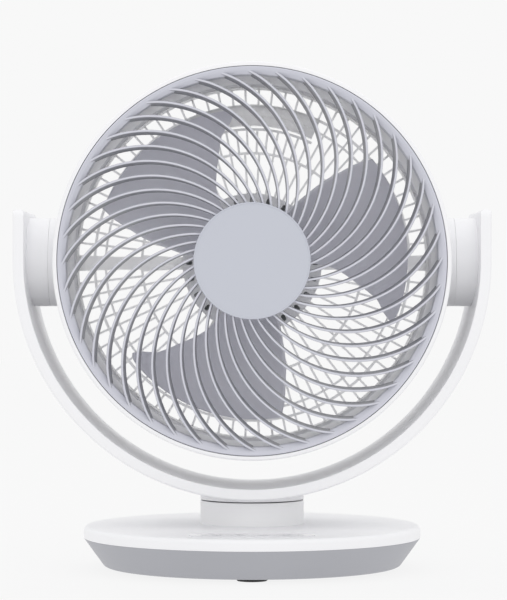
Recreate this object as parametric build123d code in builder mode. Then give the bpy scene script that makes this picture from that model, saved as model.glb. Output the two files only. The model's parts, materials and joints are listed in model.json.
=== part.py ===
"""Table air circulator fan, in millimetres.

Frame: the origin is on the table under the swivel axis, +Z is up, the fan blows
towards -Y, and +X is to the right seen from the front.  Sizes called "forward" are
measured from the tilt axis towards the front, so forward is -Y.  The fan axis and the
tilt axis cross at the head's centre.
"""
from build123d import *
import os
from math import acos, atan, cos, degrees, hypot, pi, radians, sin, tan

# ---------------------------------------------------------------- driving dimensions
AXIS_HEIGHT = 204.0            # fan axis and tilt axis above the table
FLAT_GAP = 0.2                 # between flat faces of pieces that turn on each other
SEAT_GAP = 0.05                # between a piece and the pocket or bore that holds it

# Feet and base pan
FOOT_RADIUS = 10.0
FOOT_HEIGHT = 3.6
FOOT_RING = 80.0               # foot centres to the swivel axis
FOOT_COUNT = 4
PAN_BOTTOM = 2.2               # the feet carry the pan this far above the table
PAN_FLOOR = 2.8                # floor thickness
PAN_SKIN = 2.8                 # side wall thickness, measured level
PAN_FLOOR_RADIUS = 98.2        # where the floor and the side wall would meet
PAN_CORNER = 4.0               # rounding there
BASE_RADIUS = 112.0
BASE_SEAM = 21.3               # height of the line between pan and cover

# Base cover
COVER_RIM = 29.0               # top of the cover at its rim
COVER_CROWN = 30.3             # top of the cover at the neck
COVER_WALL = 2.4
COVER_EDGE = 3.0               # rounding of the rim
LIP_WALL = 1.6                 # lip inside the pan
LIP_DEPTH = 2.5
LIP_GAP = 0.4
POST_RING = 84.0               # screw posts between pan and cover
POST_COUNT = 4
POST_RADIUS = 4.6
POST_SPLIT = 8.6               # height where the pan's posts meet the cover's
POST_WELL = 3.2                # depth of the wells for the screws' heads
POST_BORE = 12.0

# Touch panel in the cover
PANEL_WIDTH = 80.0
PANEL_DEPTH = 20.0
PANEL_THICKNESS = 1.2
PANEL_RING = 86.0              # panel centre in front of the swivel axis
PANEL_TOP = 29.6
TOUCH_BOARD_THICKNESS = 1.6
TOUCH_BOARD_DROP = 4.4         # touch board's top below the panel's top
KEY_COUNT = 4
KEY_PITCH = 15.0
KEY_PAD_RADIUS = 4.0

# Neck and swivel bearing
NECK_RADIUS = 34.4
NECK_WALL = 2.6
NECK_TOP = 45.7
NECK_WEB = 3.2
NECK_SINK = 0.5                # the neck stands in a groove this deep
NECK_HUB_RADIUS = 19.0
NECK_HUB_BOTTOM = 33.2
NECK_POST_RING = 27.0
NECK_POST_RADIUS = 3.8
NECK_POST_COUNT = 4
BUSH_WALL = 3.4
BUSH_FLANGE_RADIUS = 23.0
BUSH_FLANGE = 1.2
BUSH_PROUD = 0.5               # flange above the neck's top: the dark seam line
SPINDLE_RADIUS = 13.0
SPINDLE_BORE = 7.0
SPINDLE_FIT = 0.05             # running clearance on radius
SPINDLE_STEP_RADIUS = 10.0
SPINDLE_FLANGE_RADIUS = 30.8
SPINDLE_NUT = 2.4
SPINDLE_NUT_RADIUS = 14.0
SPINDLE_SCREW_RING = 26.0
SPINDLE_SCREW_COUNT = 4
SPINDLE_POST_RADIUS = 3.8
CIRCLIP_THICKNESS = 1.2
CIRCLIP_RADIUS = 17.0
CIRCLIP_GROOVE = 1.0

# Swivel drive
GEAR_MODULE = 1.0
SPINDLE_TEETH = 40
PINION_TEETH = 12
GEAR_FACE = 5.0
GEAR_TOP = 26.0
TOOTH_PLAY = 0.12              # backlash on each tooth's half width
MOTOR_BODY_RADIUS = 22.0
MOTOR_BODY_HEIGHT = 13.6
MOTOR_OFFSET = 14.0            # output shaft to the middle of the motor body
MOTOR_SHAFT_RADIUS = 3.0
MOTOR_EAR_SPAN = 55.0
MOTOR_EAR_WIDTH = 9.0
MOTOR_EAR = 2.0
MOTOR_SHAFT_DEPTH = 7.0        # of the shaft inside the motor
MOTOR_SHAFT_HOLE = 9.0         # depth of its hole

# Ballast, boards and inlet
BALLAST_RADIUS = 76.0
BALLAST_THICKNESS = 5.0
BALLAST_REAR = 8.0
BALLAST_PEG_RING = 50.0
BALLAST_PEG_RADIUS = 4.0
BOARD_SIZE = (44.0, 38.0)
BOARD_CENTRE = (-57.0, 31.0)
BOARD_THICKNESS = 1.6
BOARD_HEIGHT = 12.0
BOARD_POST_RADIUS = 3.0
BOARD_CANS = ((-10, 6), (-10, -6))
CAN_RADIUS = 5.0
CAN_HEIGHT = 10.5
BOARD_BLOCKS = ((6, 8, 14, 11, 8), (4, -7, 9, 9, 2), (15, -5, 5, 14, 6))   # place, length, width, height
INLET_WIDTH = 14.0
INLET_HEIGHT = 11.0
INLET_LENGTH = 16.0
INLET_FACE = 101.0             # inlet's outer face behind the swivel axis
INLET_FLOOR = 7.4
INLET_HOLE_RADIUS = 3.2
INLET_PIN_RADIUS = 1.0

# Yoke
YOKE_INNER_RADIUS = 148.2
YOKE_OUTER_RADIUS = 155.4
YOKE_DEPTH = 100.0
YOKE_WALL = 2.2
YOKE_ARM_RISE = 33.5           # arms run straight up this far above the tilt axis
YOKE_END_ROUND = 5.0
YOKE_EDGE = 1.2
COVER_STRIP_GAP = 0.2
COLLAR_WALL = 2.8

# Pivots
BOSS_RADIUS = 29.3
BOSS_WALL = 3.0
BOSS_SPLIT = 134.0             # outer face of the head's boss from the middle
BOSS_END_WALL = 4.5
FRICTION_GAP = 0.3             # between the two bosses: the faint seam
BOSS_CHAMFER = 0.3             # on both sides of that seam
PIVOT_RADIUS = 9.0
PIVOT_BORE = 5.0
PIVOT_FIT = 0.05
PIVOT_BUSH_WALL = 3.0
PIVOT_BUSH_LENGTH = 6.4
PIVOT_BUSH_FLANGE = 1.1
PIVOT_BUSH_FLANGE_RADIUS = 16.0
PIVOT_BUSH_PROUD = 0.15        # bush flange above the boss's face
PIVOT_CLIP_THICKNESS = 1.0
PIVOT_CLIP_RADIUS = 12.5
PIVOT_GROOVE = 0.8
PIVOT_HUB_WALL = 3.0
PIVOT_FLANGE_RADIUS = 20.0
PIVOT_FLANGE = 3.5
SEAT_FACE = 3.4
SEAT_POST_RING = 23.6
SEAT_POST_RADIUS = 3.4
SEAT_POST_COUNT = 3

# Head shell and duct
RIM_RADIUS = 125.7             # front grille's outer edge
RIM_INNER_RADIUS = 120.2
RIM_FRONT = 61.0               # forward of the tilt axis
RIM_BACK = 46.0
RIM_EDGE = 1.6                 # rounding of the rim's outer front edge
RIM_DISH = 2.2                 # the rim's face slopes back this far from its outer to its inner edge
RIM_WALL = 1.7
DUCT_RADIUS = 120.4
DUCT_WALL = 1.2
DUCT_BACK = -22.0
SHELL_LIP_RADIUS = 128.9       # shell's front lip, which shows as a fine white ring round the rim
SHELL_LIP_FRONT = 60.2
SHELL_LIP_EDGE = 1.2           # rounding of the lip's outer edge
SHELL_LIP_GAP = 0.35           # dark line between the rim and the lip
SHELL_LEDGE_RADIUS = 123.6     # ledge inside the shell that the rim stands on
SHELL_RADIUS = 128.3
SHELL_FLARE = 22.0             # forward place where the lip's slight flare begins
SHELL_WALL = 3.0
SHELL_SPLIT = -31.0            # line between front shell and rear grille
SHELL_BACK = -50.0
SHELL_BACK_EDGE = 6.0
DUCT_SEAT = 1.8                # flange that holds the duct's rear end
DUCT_SEAT_RADIUS = 119.2
SHELL_SCREW_RING = 122.7
SHELL_SCREW_COUNT = 6
SHELL_POST_RADIUS = 2.4
GRILLE_TAB_COUNT = 6
GRILLE_TAB_WIDTH = 12.0
GRILLE_TAB_LENGTH = 8.0        # behind the rim
GRILLE_TAB = 1.2

# Front grille
RIB_COUNT = 44
RIB_ARC_RADIUS = 75.3          # each rib is an arc of a circle
RIB_ARC_OFFSET = 68.3          # the circle's centre lies this far from the fan axis
RIB_START_ANGLE = 0.46
RIB_THICKNESS = 1.5
RIB_TWIST = 2.4                # turn about the fan axis over the rib's depth, in degrees
RIB_NOSE = 66.0                # front and back planes between which the ribs are drawn
RIB_TAIL = 50.0
RIB_INNER = 35.0
RIB_OUTER = 123.7
GRILLE_CROWN = 64.4            # front of the ribs at the hub
GRILLE_SHOULDER = 61.8         # front of the ribs over the rim's inner edge
GRILLE_END = 59.9              # where the ribs run out on the rim
RIB_DEPTH_HUB = 4.5
RIB_DEPTH_RIM = 9.5
HUB_PLATE_RADIUS = 36.6
HUB_PLATE = 2.6
CAP_RADIUS = 37.7
CAP_THICKNESS = 2.6
CAP_FRONT = 66.4
CAP_EDGE = 0.9
CAP_SINK = 0.3

# Impeller
BLADE_COUNT = 3
BLADE_TIP_RADIUS = 104.0
BLADE_THICKNESS = 2.2
BLADE_START_ANGLE = 254.0      # a blade's middle, seen from the front
BLADE_ROOT_SINK = 1.2          # blade roots reach this far into the hub's wall
BLADE_PITCH = 42.0             # helix rise for each radian
BLADE_MID = 6.0                # forward place of the blade's middle
BLADE_STEPS = 10
BLADE_SPAN = (14.0, 0.62, 20.0, 0.36)     # behind and ahead of its middle: at the axis, and more per reach
BLADE_REACHES = (26.0, 48.0, 72.0, 96.0, 118.0)   # places of the sections along a blade
BLADE_LEAD = ((30, 42), (43.5, 40), (56, 37), (72, 34), (82, 31.5), (95, 29), (104, 26.5))
BLADE_TRAIL = (
    (100.5, -37),
    (95, -35),
    (87.5, -30.5),
    (72, -25.5),
    (64, -22),
    (55, -18),
    (47, -16),
    (30, -13),
)
BLADE_TRAIL_TIP = -32.0        # where the rounded corner meets the tip circle
IMPELLER_HUB_RADIUS = 34.0
IMPELLER_HUB_WALL = 2.4
IMPELLER_HUB_FRONT = 39.0
IMPELLER_HUB_BACK = -18.0
IMPELLER_BOSS_RADIUS = 8.0
IMPELLER_BOSS_BACK = -6.0
IMPELLER_NUT_RADIUS = 8.0
IMPELLER_NUT = 7.0

# Rear grille
REAR_OPEN_RADIUS = 118.3
REAR_RIM_BACK = -46.0          # grille face at the opening's edge
REAR_HUB_BACK = -63.0          # grille face at the motor cup
REAR_DEPTH = 2.6
REAR_SPOKE = 1.5
REAR_FINE_SPOKES = 80
REAR_COARSE_SPOKES = 48
REAR_RINGS = ((107.6, 1.8), (100.1, 1.5), (75.6, 1.7))
REAR_BAR = 8.8
REAR_HUB_RADIUS = 47.4
REAR_HUB_WALL = 2.0
REAR_HUB_FRONT = -35.6
REAR_HUB_END = -66.0
REAR_INNER_WALL = 1.8
REAR_WELL_FLOOR = -36.0        # where the shell screws' heads sit
REAR_WELL_GAP = 0.3
REAR_WELL_WALL = 1.0

# Carrying grip in the rear grille's top
GRIP_INNER = 94.2
GRIP_OUTER = 107.2
GRIP_HALF_ANGLE = 25.5
GRIP_WALL = 2.0
GRIP_FRONT = -45.0
GRIP_BACK = -59.0
GRIP_SLOT = 1.6
GRIP_RAIL = 1.6
GRIP_GAP = 0.15
GRIP_LINE = (100.5, 0.4, 0.3)  # fine line on its front: radius, width, depth

# Motor
SHAFT_RADIUS = 4.0
SHAFT_FRONT = 45.0
SHAFT_BACK = -69.0
SHIELD_RADIUS = 47.2
SHIELD_THICKNESS = 3.0
SHIELD_SLOTS = 24
SHIELD_SLOT_RING = 42.9
SHIELD_SLOT = (4.6, 2.8)
SHIELD_HOLE = 6.0
CUP_RADIUS = 41.0
CUP_WALL = 2.0
CUP_FRONT = -37.0
CUP_BACK = -72.0
CUP_FLANGE_FACE = -48.0        # flange that carries the motor in the grille's hub
CUP_FLANGE = 2.0
HUB_WEB = 4.0
STATOR_BORE = 22.2
STATOR_FRONT = -45.0
STATOR_BACK = -61.0
STATOR_TEETH = 12
STATOR_TOOTH = 4.5
STATOR_YOKE = 4.0
ROTOR_RADIUS = 21.6
WINDING_HEIGHT = 3.0
BEARING_RADIUS = 11.0
BEARING_WIDTH = 6.0
BEARING_WALL = 2.0
MOTOR_SCREW_COUNT = 3
MOTOR_SCREW_RING = 43.2
BELL = 2.0
ROTOR_END_GAP = 0.6
REAR_CAP_BACK = -80.0
REAR_CAP_WALL = 2.0
REAR_CAP_ROUND = 9.0
REAR_CAP_LIP = 4.0
REAR_CAP_SLOTS = 16
REAR_CAP_SLOT_RING = 24.0
REAR_CAP_SLOT = (14.0, 2.0)

# Screws: shank radius, head radius, head height
TINY_SCREW = (1.1, 1.9, 1.4)
SMALL_SCREW = (1.25, 2.3, 1.6)
BASE_SCREW = (1.5, 2.8, 2.0)
WIDE_SCREW = (1.5, 5.6, 1.8)
SPINDLE_SCREW = (1.9, 3.4, 2.2)
SCREW_CROSS = 0.7              # width of the cross recess
BOARD_SCREW_LENGTH = 5.0
EAR_SCREW_LENGTH = 8.0
BASE_SCREW_LENGTH = 12.0
NECK_SCREW_LENGTH = 11.0
SEAT_SCREW_LENGTH = 9.0
SADDLE_SCREW_LENGTH = 4.8
SHELL_SCREW_LENGTH = 10.0
HUB_SCREW_LENGTH = 5.0

# ---------------------------------------------------------------- frames and axes
HEAD = Plane(origin=(0, 0, AXIS_HEIGHT), x_dir=(1, 0, 0), z_dir=(0, -1, 0))
RADIAL = Plane(origin=(0, 0, AXIS_HEIGHT), x_dir=(1, 0, 0), z_dir=(0, 0, -1))
RIGHT_SIDE = Plane(origin=(0, 0, AXIS_HEIGHT), x_dir=(0, 1, 0), z_dir=(1, 0, 0))
FAN_AXIS = Axis((0, 0, AXIS_HEIGHT), (0, -1, 0))
ON_TOP = (Align.CENTER, Align.CENTER, Align.MIN)
HANGING = (Align.CENTER, Align.CENTER, Align.MAX)

# ---------------------------------------------------------------- worked-out sizes
pan_top_of_floor = PAN_BOTTOM + PAN_FLOOR
wall_slope = (BASE_RADIUS - PAN_FLOOR_RADIUS) / (BASE_SEAM - PAN_BOTTOM)
cover_inside = COVER_RIM - COVER_WALL
bush_bore = SPINDLE_RADIUS + SPINDLE_FIT
bush_outer = bush_bore + BUSH_WALL
bush_top = NECK_TOP + BUSH_PROUD
collar_bottom = bush_top + FLAT_GAP
gear_pitch_radius = GEAR_MODULE * SPINDLE_TEETH / 2
pinion_pitch_radius = GEAR_MODULE * PINION_TEETH / 2
gear_distance = gear_pitch_radius + pinion_pitch_radius
motor_middle = gear_distance + MOTOR_OFFSET
motor_top = pan_top_of_floor + SEAT_GAP + MOTOR_BODY_HEIGHT
seat_face = BOSS_SPLIT + FRICTION_GAP
seat_back = seat_face + SEAT_FACE


def pan_radius(height):
    """Outer radius of the pan's slanted wall at a height."""
    return PAN_FLOOR_RADIUS + wall_slope * (height - PAN_BOTTOM)


def grille_face(radius):
    """Forward place of the rear grille's coned outer face at a radius."""
    share = (REAR_OPEN_RADIUS - radius) / (REAR_OPEN_RADIUS - REAR_HUB_RADIUS)
    return REAR_RIM_BACK + share * (REAR_HUB_BACK - REAR_RIM_BACK)


def rim_face(radius):
    """Forward place of the rim's sloping face at a radius."""
    return RIM_FRONT - RIM_DISH * (RIM_RADIUS - radius) / (RIM_RADIUS - RIM_INNER_RADIUS)


def on_circle(radius, angle):
    """Point at a radius and an angle in degrees."""
    return (radius * cos(radians(angle)), radius * sin(radians(angle)))


def make_screw(size, length):
    """Screw with its shank along +Z from the origin and its crossed head below."""
    shank_radius, head_radius, head_height = size
    with BuildPart() as screw:
        Cylinder(shank_radius, length, align=ON_TOP)
        Cylinder(head_radius, head_height, align=HANGING)
        fillet(screw.edges().filter_by(GeomType.CIRCLE).sort_by(Axis.Z)[0], head_height * 0.4)
        with BuildSketch(Plane.XY.offset(-head_height)):
            Rectangle(head_radius * 1.3, SCREW_CROSS)
            Rectangle(SCREW_CROSS, head_radius * 1.3)
        extrude(amount=head_height * 0.6, mode=Mode.SUBTRACT)
    return screw.part


def gear_outline(teeth, play, turn):
    """Closed outline of an involute gear, with its first tooth's middle at an angle.

    A flank point at radius r lies at the involute angle of r past the tooth's half
    width, which is a quarter of the pitch less the play.
    """
    pressure = radians(20)
    pitch_radius = GEAR_MODULE * teeth / 2
    base_radius = pitch_radius * cos(pressure)
    tip_radius = pitch_radius + GEAR_MODULE
    root_radius = pitch_radius - 1.25 * GEAR_MODULE
    start_radius = max(base_radius, root_radius)
    half_width = pi / (2 * teeth) - play / pitch_radius + (tan(pressure) - pressure)
    steps = 4
    flank = [(root_radius, half_width)] if root_radius < base_radius else []
    for step in range(steps + 1):
        radius = start_radius + (tip_radius - start_radius) * step / steps
        angle = acos(base_radius / radius)
        flank.append((radius, half_width - (tan(angle) - angle)))
    points = []
    for tooth in range(teeth):
        middle = radians(turn) + 2 * pi * tooth / teeth
        for radius, spread in flank:
            points.append((radius * cos(middle - spread), radius * sin(middle - spread)))
        for radius, spread in reversed(flank):
            points.append((radius * cos(middle + spread), radius * sin(middle + spread)))
    return points


def on_yoke_outside(edge):
    """Whether an edge bounds the yoke's outer surface, apart from its tangent lines."""
    middle = edge @ 0.5
    rise = middle.Z - AXIS_HEIGHT
    reach = abs(middle.X) if rise > 0 else hypot(middle.X, rise)
    at_surface = abs(reach - YOKE_OUTER_RADIUS) < 0.01 and abs(rise) > 0.01
    return at_surface and (rise > 0 or abs(middle.Y) > NECK_RADIUS + 1)


def strap_profile(radius, rise):
    """Filled outline of the strap's U at a radius, up to a rise above the tilt axis."""
    with BuildSketch(HEAD) as region:
        Circle(radius)
        if rise > 0:
            Rectangle(2 * radius, rise, align=(Align.CENTER, Align.MIN))
        with Locations((0, rise)):
            Rectangle(3 * radius, 2 * radius, align=(Align.CENTER, Align.MIN), mode=Mode.SUBTRACT)
    return region.sketch


def ring(inner, outer):
    """Flat ring about the origin."""
    with BuildSketch(mode=Mode.PRIVATE) as region:
        Circle(outer)
        Circle(inner, mode=Mode.SUBTRACT)
    return region.sketch


def sector(inner, outer, half_angle):
    """Part of a flat ring, to both sides of straight up."""
    with BuildSketch(mode=Mode.PRIVATE) as region:
        with BuildLine():
            CenterArc((0, 0), outer, 90 - half_angle, 2 * half_angle)
            CenterArc((0, 0), inner, 90 - half_angle, 2 * half_angle)
            Line(on_circle(inner, 90 - half_angle), on_circle(outer, 90 - half_angle))
            Line(on_circle(inner, 90 + half_angle), on_circle(outer, 90 + half_angle))
        make_face()
    return region.sketch


def rib_section(arc_radius, near, far):
    """Three points, in the first rib's frame, along its arc from one radius to another."""
    points = []
    for radius in (near, (near + far) / 2, far):
        spread = acos((radius**2 + RIB_ARC_OFFSET**2 - arc_radius**2) / (2 * radius * RIB_ARC_OFFSET))
        points.append(on_circle(radius, RIB_START_ANGLE - degrees(spread)))
    return points


def blade_line(reach, side):
    """Points across a blade at a reach along its middle, on one face of it."""
    behind, behind_growth, ahead, ahead_growth = BLADE_SPAN
    start = -(behind + behind_growth * reach)
    end = ahead + ahead_growth * reach
    points = []
    for step in range(BLADE_STEPS + 1):
        across = start + (end - start) * step / BLADE_STEPS
        rise = BLADE_MID + BLADE_PITCH * atan(across / reach)
        slope = BLADE_PITCH * reach / (reach**2 + across**2)
        away = side * BLADE_THICKNESS / 2 / hypot(1, slope)
        points.append((across - slope * away, rise + away))
    return points


def save(node, name):
    """Label a finished piece and write it."""
    node.part.label = name
    export_step(node.part, f"parts/{name}.step")


os.makedirs("parts", exist_ok=True)

# ================================================================ base
# Rubber feet in recesses of the pan's floor
with BuildPart() as feet:
    with PolarLocations(FOOT_RING, FOOT_COUNT, start_angle=-90):
        Cylinder(FOOT_RADIUS, FOOT_HEIGHT, align=ON_TOP)
    chamfer(feet.edges().group_by(Axis.Z)[0], 0.6)
save(feet, "feet")

# Lower pan: a dish with a slanted wall, posts for the cover, the motor, the ballast and
# the board, and a window for the power inlet
with BuildPart() as base_pan:
    with BuildSketch(Plane.XZ) as pan_profile:
        with BuildLine():
            Polyline(
                (0, PAN_BOTTOM),
                (PAN_FLOOR_RADIUS, PAN_BOTTOM),
                (BASE_RADIUS, BASE_SEAM),
                (BASE_RADIUS - PAN_SKIN, BASE_SEAM),
                (pan_radius(pan_top_of_floor) - PAN_SKIN, pan_top_of_floor),
                (0, pan_top_of_floor),
                close=True,
            )
        make_face()
        fillet(pan_profile.vertices().sort_by_distance((PAN_FLOOR_RADIUS, PAN_BOTTOM))[0], PAN_CORNER)
    revolve(axis=Axis.Z)
    with PolarLocations(FOOT_RING, FOOT_COUNT, start_angle=-90):
        with Locations((0, 0, PAN_BOTTOM)):
            Cylinder(FOOT_RADIUS + SEAT_GAP, FOOT_HEIGHT - PAN_BOTTOM, align=ON_TOP, mode=Mode.SUBTRACT)
    with Locations((0, 0, PAN_BOTTOM)):
        with PolarLocations(POST_RING, POST_COUNT, start_angle=45):
            Cylinder(POST_RADIUS, POST_SPLIT - PAN_BOTTOM, align=ON_TOP)
            Cylinder(BASE_SCREW[0] + 0.2, POST_SPLIT, align=ON_TOP, mode=Mode.SUBTRACT)
            Cylinder(BASE_SCREW[1] + 0.3, POST_WELL, align=ON_TOP, mode=Mode.SUBTRACT)
    with Locations((0, 0, pan_top_of_floor)):
        with PolarLocations(BALLAST_PEG_RING, 3, start_angle=210, angular_range=180):
            Cylinder(BALLAST_PEG_RADIUS, BALLAST_THICKNESS - FLAT_GAP, align=ON_TOP)
            Cylinder(WIDE_SCREW[0], BALLAST_THICKNESS, align=ON_TOP, mode=Mode.SUBTRACT)
        with Locations((-MOTOR_EAR_SPAN / 2, motor_middle), (MOTOR_EAR_SPAN / 2, motor_middle)):
            Cylinder(MOTOR_EAR_WIDTH / 2, MOTOR_BODY_HEIGHT - MOTOR_EAR, align=ON_TOP)
            Cylinder(BASE_SCREW[0], MOTOR_BODY_HEIGHT, align=ON_TOP, mode=Mode.SUBTRACT)
        with Locations(BOARD_CENTRE):
            with GridLocations(BOARD_SIZE[0] - 8, BOARD_SIZE[1] - 8, 2, 2):
                Cylinder(BOARD_POST_RADIUS, BOARD_HEIGHT - pan_top_of_floor, align=ON_TOP)
                Cylinder(SMALL_SCREW[0], BOARD_HEIGHT, align=ON_TOP, mode=Mode.SUBTRACT)
        with Locations((0, INLET_FACE - INLET_LENGTH / 2)):
            Box(INLET_WIDTH, INLET_LENGTH - 4, INLET_FLOOR - pan_top_of_floor, align=ON_TOP)
    with Locations((0, INLET_FACE, INLET_FLOOR - SEAT_GAP)):
        Box(
            INLET_WIDTH + 2 * SEAT_GAP,
            INLET_LENGTH * 2,
            INLET_HEIGHT + 2 * SEAT_GAP,
            align=ON_TOP,
            mode=Mode.SUBTRACT,
        )
save(base_pan, "base_pan")

# Top cover: a shallow cone with a rounded rim, a lip inside the pan, screw posts, the
# panel's recess and the neck's groove
with BuildPart() as base_cover:
    with BuildSketch(Plane.XZ) as cover_profile:
        with BuildLine():
            Polyline(
                (bush_outer, COVER_CROWN),
                (NECK_RADIUS, COVER_CROWN),
                (BASE_RADIUS, COVER_RIM),
                (BASE_RADIUS, BASE_SEAM),
                (BASE_RADIUS - COVER_WALL, BASE_SEAM),
                (BASE_RADIUS - COVER_WALL, cover_inside),
                (NECK_RADIUS, COVER_CROWN - COVER_WALL),
                (bush_outer, COVER_CROWN - COVER_WALL),
                close=True,
            )
        make_face()
        fillet(cover_profile.vertices().sort_by_distance((BASE_RADIUS, COVER_RIM))[0], COVER_EDGE)
        fillet(cover_profile.vertices().sort_by_distance((BASE_RADIUS - COVER_WALL, cover_inside))[0], 1.0)
    revolve(axis=Axis.Z)
    lip_radius = pan_radius(BASE_SEAM - LIP_DEPTH) - PAN_SKIN - LIP_GAP
    with BuildSketch(Plane.XY.offset(BASE_SEAM - LIP_DEPTH)):
        Circle(lip_radius)
        Circle(lip_radius - LIP_WALL, mode=Mode.SUBTRACT)
    extrude(amount=cover_inside - BASE_SEAM + LIP_DEPTH + COVER_WALL / 2)
    with Locations((0, 0, POST_SPLIT)):
        with PolarLocations(POST_RING, POST_COUNT, start_angle=45):
            Cylinder(POST_RADIUS, cover_inside - POST_SPLIT + COVER_WALL / 2, align=ON_TOP)
            Cylinder(BASE_SCREW[0], POST_BORE, align=ON_TOP, mode=Mode.SUBTRACT)
    with PolarLocations(NECK_POST_RING, NECK_POST_COUNT, start_angle=45):
        Cylinder(BASE_SCREW[0] + 0.2, COVER_CROWN * 2, align=ON_TOP, mode=Mode.SUBTRACT)
    with BuildSketch(Plane.XY.offset(COVER_CROWN - NECK_SINK)):
        Circle(NECK_RADIUS + SEAT_GAP)
        Circle(NECK_RADIUS - NECK_WALL - SEAT_GAP, mode=Mode.SUBTRACT)
    extrude(amount=NECK_SINK * 2, mode=Mode.SUBTRACT)
    with BuildSketch(Plane.XY.offset(PANEL_TOP - PANEL_THICKNESS)):
        with Locations((0, -PANEL_RING)):
            SlotOverall(PANEL_WIDTH + 2 * SEAT_GAP, PANEL_DEPTH + 2 * SEAT_GAP)
    extrude(amount=PANEL_THICKNESS * 2, mode=Mode.SUBTRACT)
save(base_cover, "base_cover")

# Touch panel lens, its sensor pads and its board
with BuildPart() as touch_panel:
    with BuildSketch(Plane.XY.offset(PANEL_TOP - PANEL_THICKNESS)):
        with Locations((0, -PANEL_RING)):
            SlotOverall(PANEL_WIDTH, PANEL_DEPTH)
    extrude(amount=PANEL_THICKNESS)
    fillet(touch_panel.edges().group_by(Axis.Z)[-1], 0.3)
save(touch_panel, "touch_panel")

touch_board_top = PANEL_TOP - TOUCH_BOARD_DROP
with BuildPart() as sensor_pads:
    with Locations((0, -PANEL_RING, touch_board_top)):
        with GridLocations(KEY_PITCH, 1, KEY_COUNT, 1):
            Cylinder(KEY_PAD_RADIUS, cover_inside - touch_board_top, align=ON_TOP)
save(sensor_pads, "sensor_pads")

with BuildPart() as touch_board:
    with Locations((0, -PANEL_RING, touch_board_top)):
        Box(PANEL_WIDTH - 6, PANEL_DEPTH - 2, TOUCH_BOARD_THICKNESS, align=HANGING)
    fillet(touch_board.edges().filter_by(Axis.Z), 2.0)
save(touch_board, "touch_board")

# Neck sleeve with a web, a hub for the bush and posts for its screws
neck_bottom = COVER_CROWN - NECK_SINK
with BuildPart() as neck_sleeve:
    with Locations((0, 0, neck_bottom)):
        Cylinder(NECK_RADIUS, NECK_TOP - neck_bottom, align=ON_TOP)
        Cylinder(NECK_RADIUS - NECK_WALL, NECK_TOP - NECK_WEB - neck_bottom, align=ON_TOP, mode=Mode.SUBTRACT)
    with Locations((0, 0, NECK_TOP)):
        Cylinder(NECK_HUB_RADIUS, NECK_TOP - NECK_HUB_BOTTOM, align=HANGING)
        with PolarLocations(NECK_POST_RING, NECK_POST_COUNT, start_angle=45):
            Cylinder(NECK_POST_RADIUS, NECK_TOP - COVER_CROWN, align=HANGING)
        Cylinder(BUSH_FLANGE_RADIUS + SEAT_GAP, BUSH_FLANGE - BUSH_PROUD, align=HANGING, mode=Mode.SUBTRACT)
        Cylinder(bush_outer + SEAT_GAP, NECK_TOP, align=HANGING, mode=Mode.SUBTRACT)
    with Locations((0, 0, COVER_CROWN)):
        with PolarLocations(NECK_POST_RING, NECK_POST_COUNT, start_angle=45):
            Cylinder(BASE_SCREW[0], 10.0, align=ON_TOP, mode=Mode.SUBTRACT)
    chamfer(neck_sleeve.edges().group_by(Axis.Z)[-1].sort_by(SortBy.RADIUS)[-1], 0.4)
save(neck_sleeve, "neck_sleeve")

# Flanged swivel bush
with BuildPart() as swivel_bush:
    with Locations((0, 0, bush_top)):
        Cylinder(BUSH_FLANGE_RADIUS, BUSH_FLANGE, align=HANGING)
        Cylinder(bush_outer, bush_top - NECK_HUB_BOTTOM, align=HANGING)
        Cylinder(bush_bore, NECK_TOP, align=HANGING, mode=Mode.SUBTRACT)
save(swivel_bush, "swivel_bush")

# Ballast plate: a thick steel half moon on the pan's floor
with BuildPart() as ballast_plate:
    with Locations((0, 0, pan_top_of_floor)):
        Cylinder(BALLAST_RADIUS, BALLAST_THICKNESS, align=ON_TOP)
        with Locations((0, BALLAST_REAR)):
            Box(
                BALLAST_RADIUS * 2,
                BALLAST_RADIUS,
                BALLAST_THICKNESS,
                align=(Align.CENTER, Align.MIN, Align.MIN),
                mode=Mode.SUBTRACT,
            )
        with PolarLocations(BALLAST_PEG_RING, 3, start_angle=210, angular_range=180):
            Cylinder(BALLAST_PEG_RADIUS + 0.3, BALLAST_THICKNESS, align=ON_TOP, mode=Mode.SUBTRACT)
save(ballast_plate, "ballast_plate")

ballast_screw = make_screw(WIDE_SCREW, BALLAST_THICKNESS - 1)
with BuildPart(Plane.XY.offset(pan_top_of_floor + BALLAST_THICKNESS)) as ballast_screws:
    with PolarLocations(BALLAST_PEG_RING, 3, start_angle=210, angular_range=180):
        add(ballast_screw.rotate(Axis.X, 180))
save(ballast_screws, "ballast_screws")

# Control board with its parts
board_top = BOARD_HEIGHT + BOARD_THICKNESS
with BuildPart() as control_board:
    with Locations((BOARD_CENTRE[0], BOARD_CENTRE[1], BOARD_HEIGHT)):
        Box(BOARD_SIZE[0], BOARD_SIZE[1], BOARD_THICKNESS, align=ON_TOP)
        with GridLocations(BOARD_SIZE[0] - 8, BOARD_SIZE[1] - 8, 2, 2):
            Cylinder(SMALL_SCREW[0] + 0.2, BOARD_THICKNESS, align=ON_TOP, mode=Mode.SUBTRACT)
save(control_board, "control_board")

with BuildPart() as board_components:
    with Locations((BOARD_CENTRE[0], BOARD_CENTRE[1], board_top)):
        with Locations(*BOARD_CANS):
            Cylinder(CAN_RADIUS, CAN_HEIGHT, align=ON_TOP)
        for right, rear, length, width, height in BOARD_BLOCKS:
            with Locations((right, rear)):
                Box(length, width, height, align=ON_TOP)
save(board_components, "board_components")

board_screw = make_screw(SMALL_SCREW, BOARD_SCREW_LENGTH)
with BuildPart(Plane.XY.offset(board_top)) as board_screws:
    with Locations(BOARD_CENTRE):
        with GridLocations(BOARD_SIZE[0] - 8, BOARD_SIZE[1] - 8, 2, 2):
            add(board_screw.rotate(Axis.X, 180))
save(board_screws, "board_screws")

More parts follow.
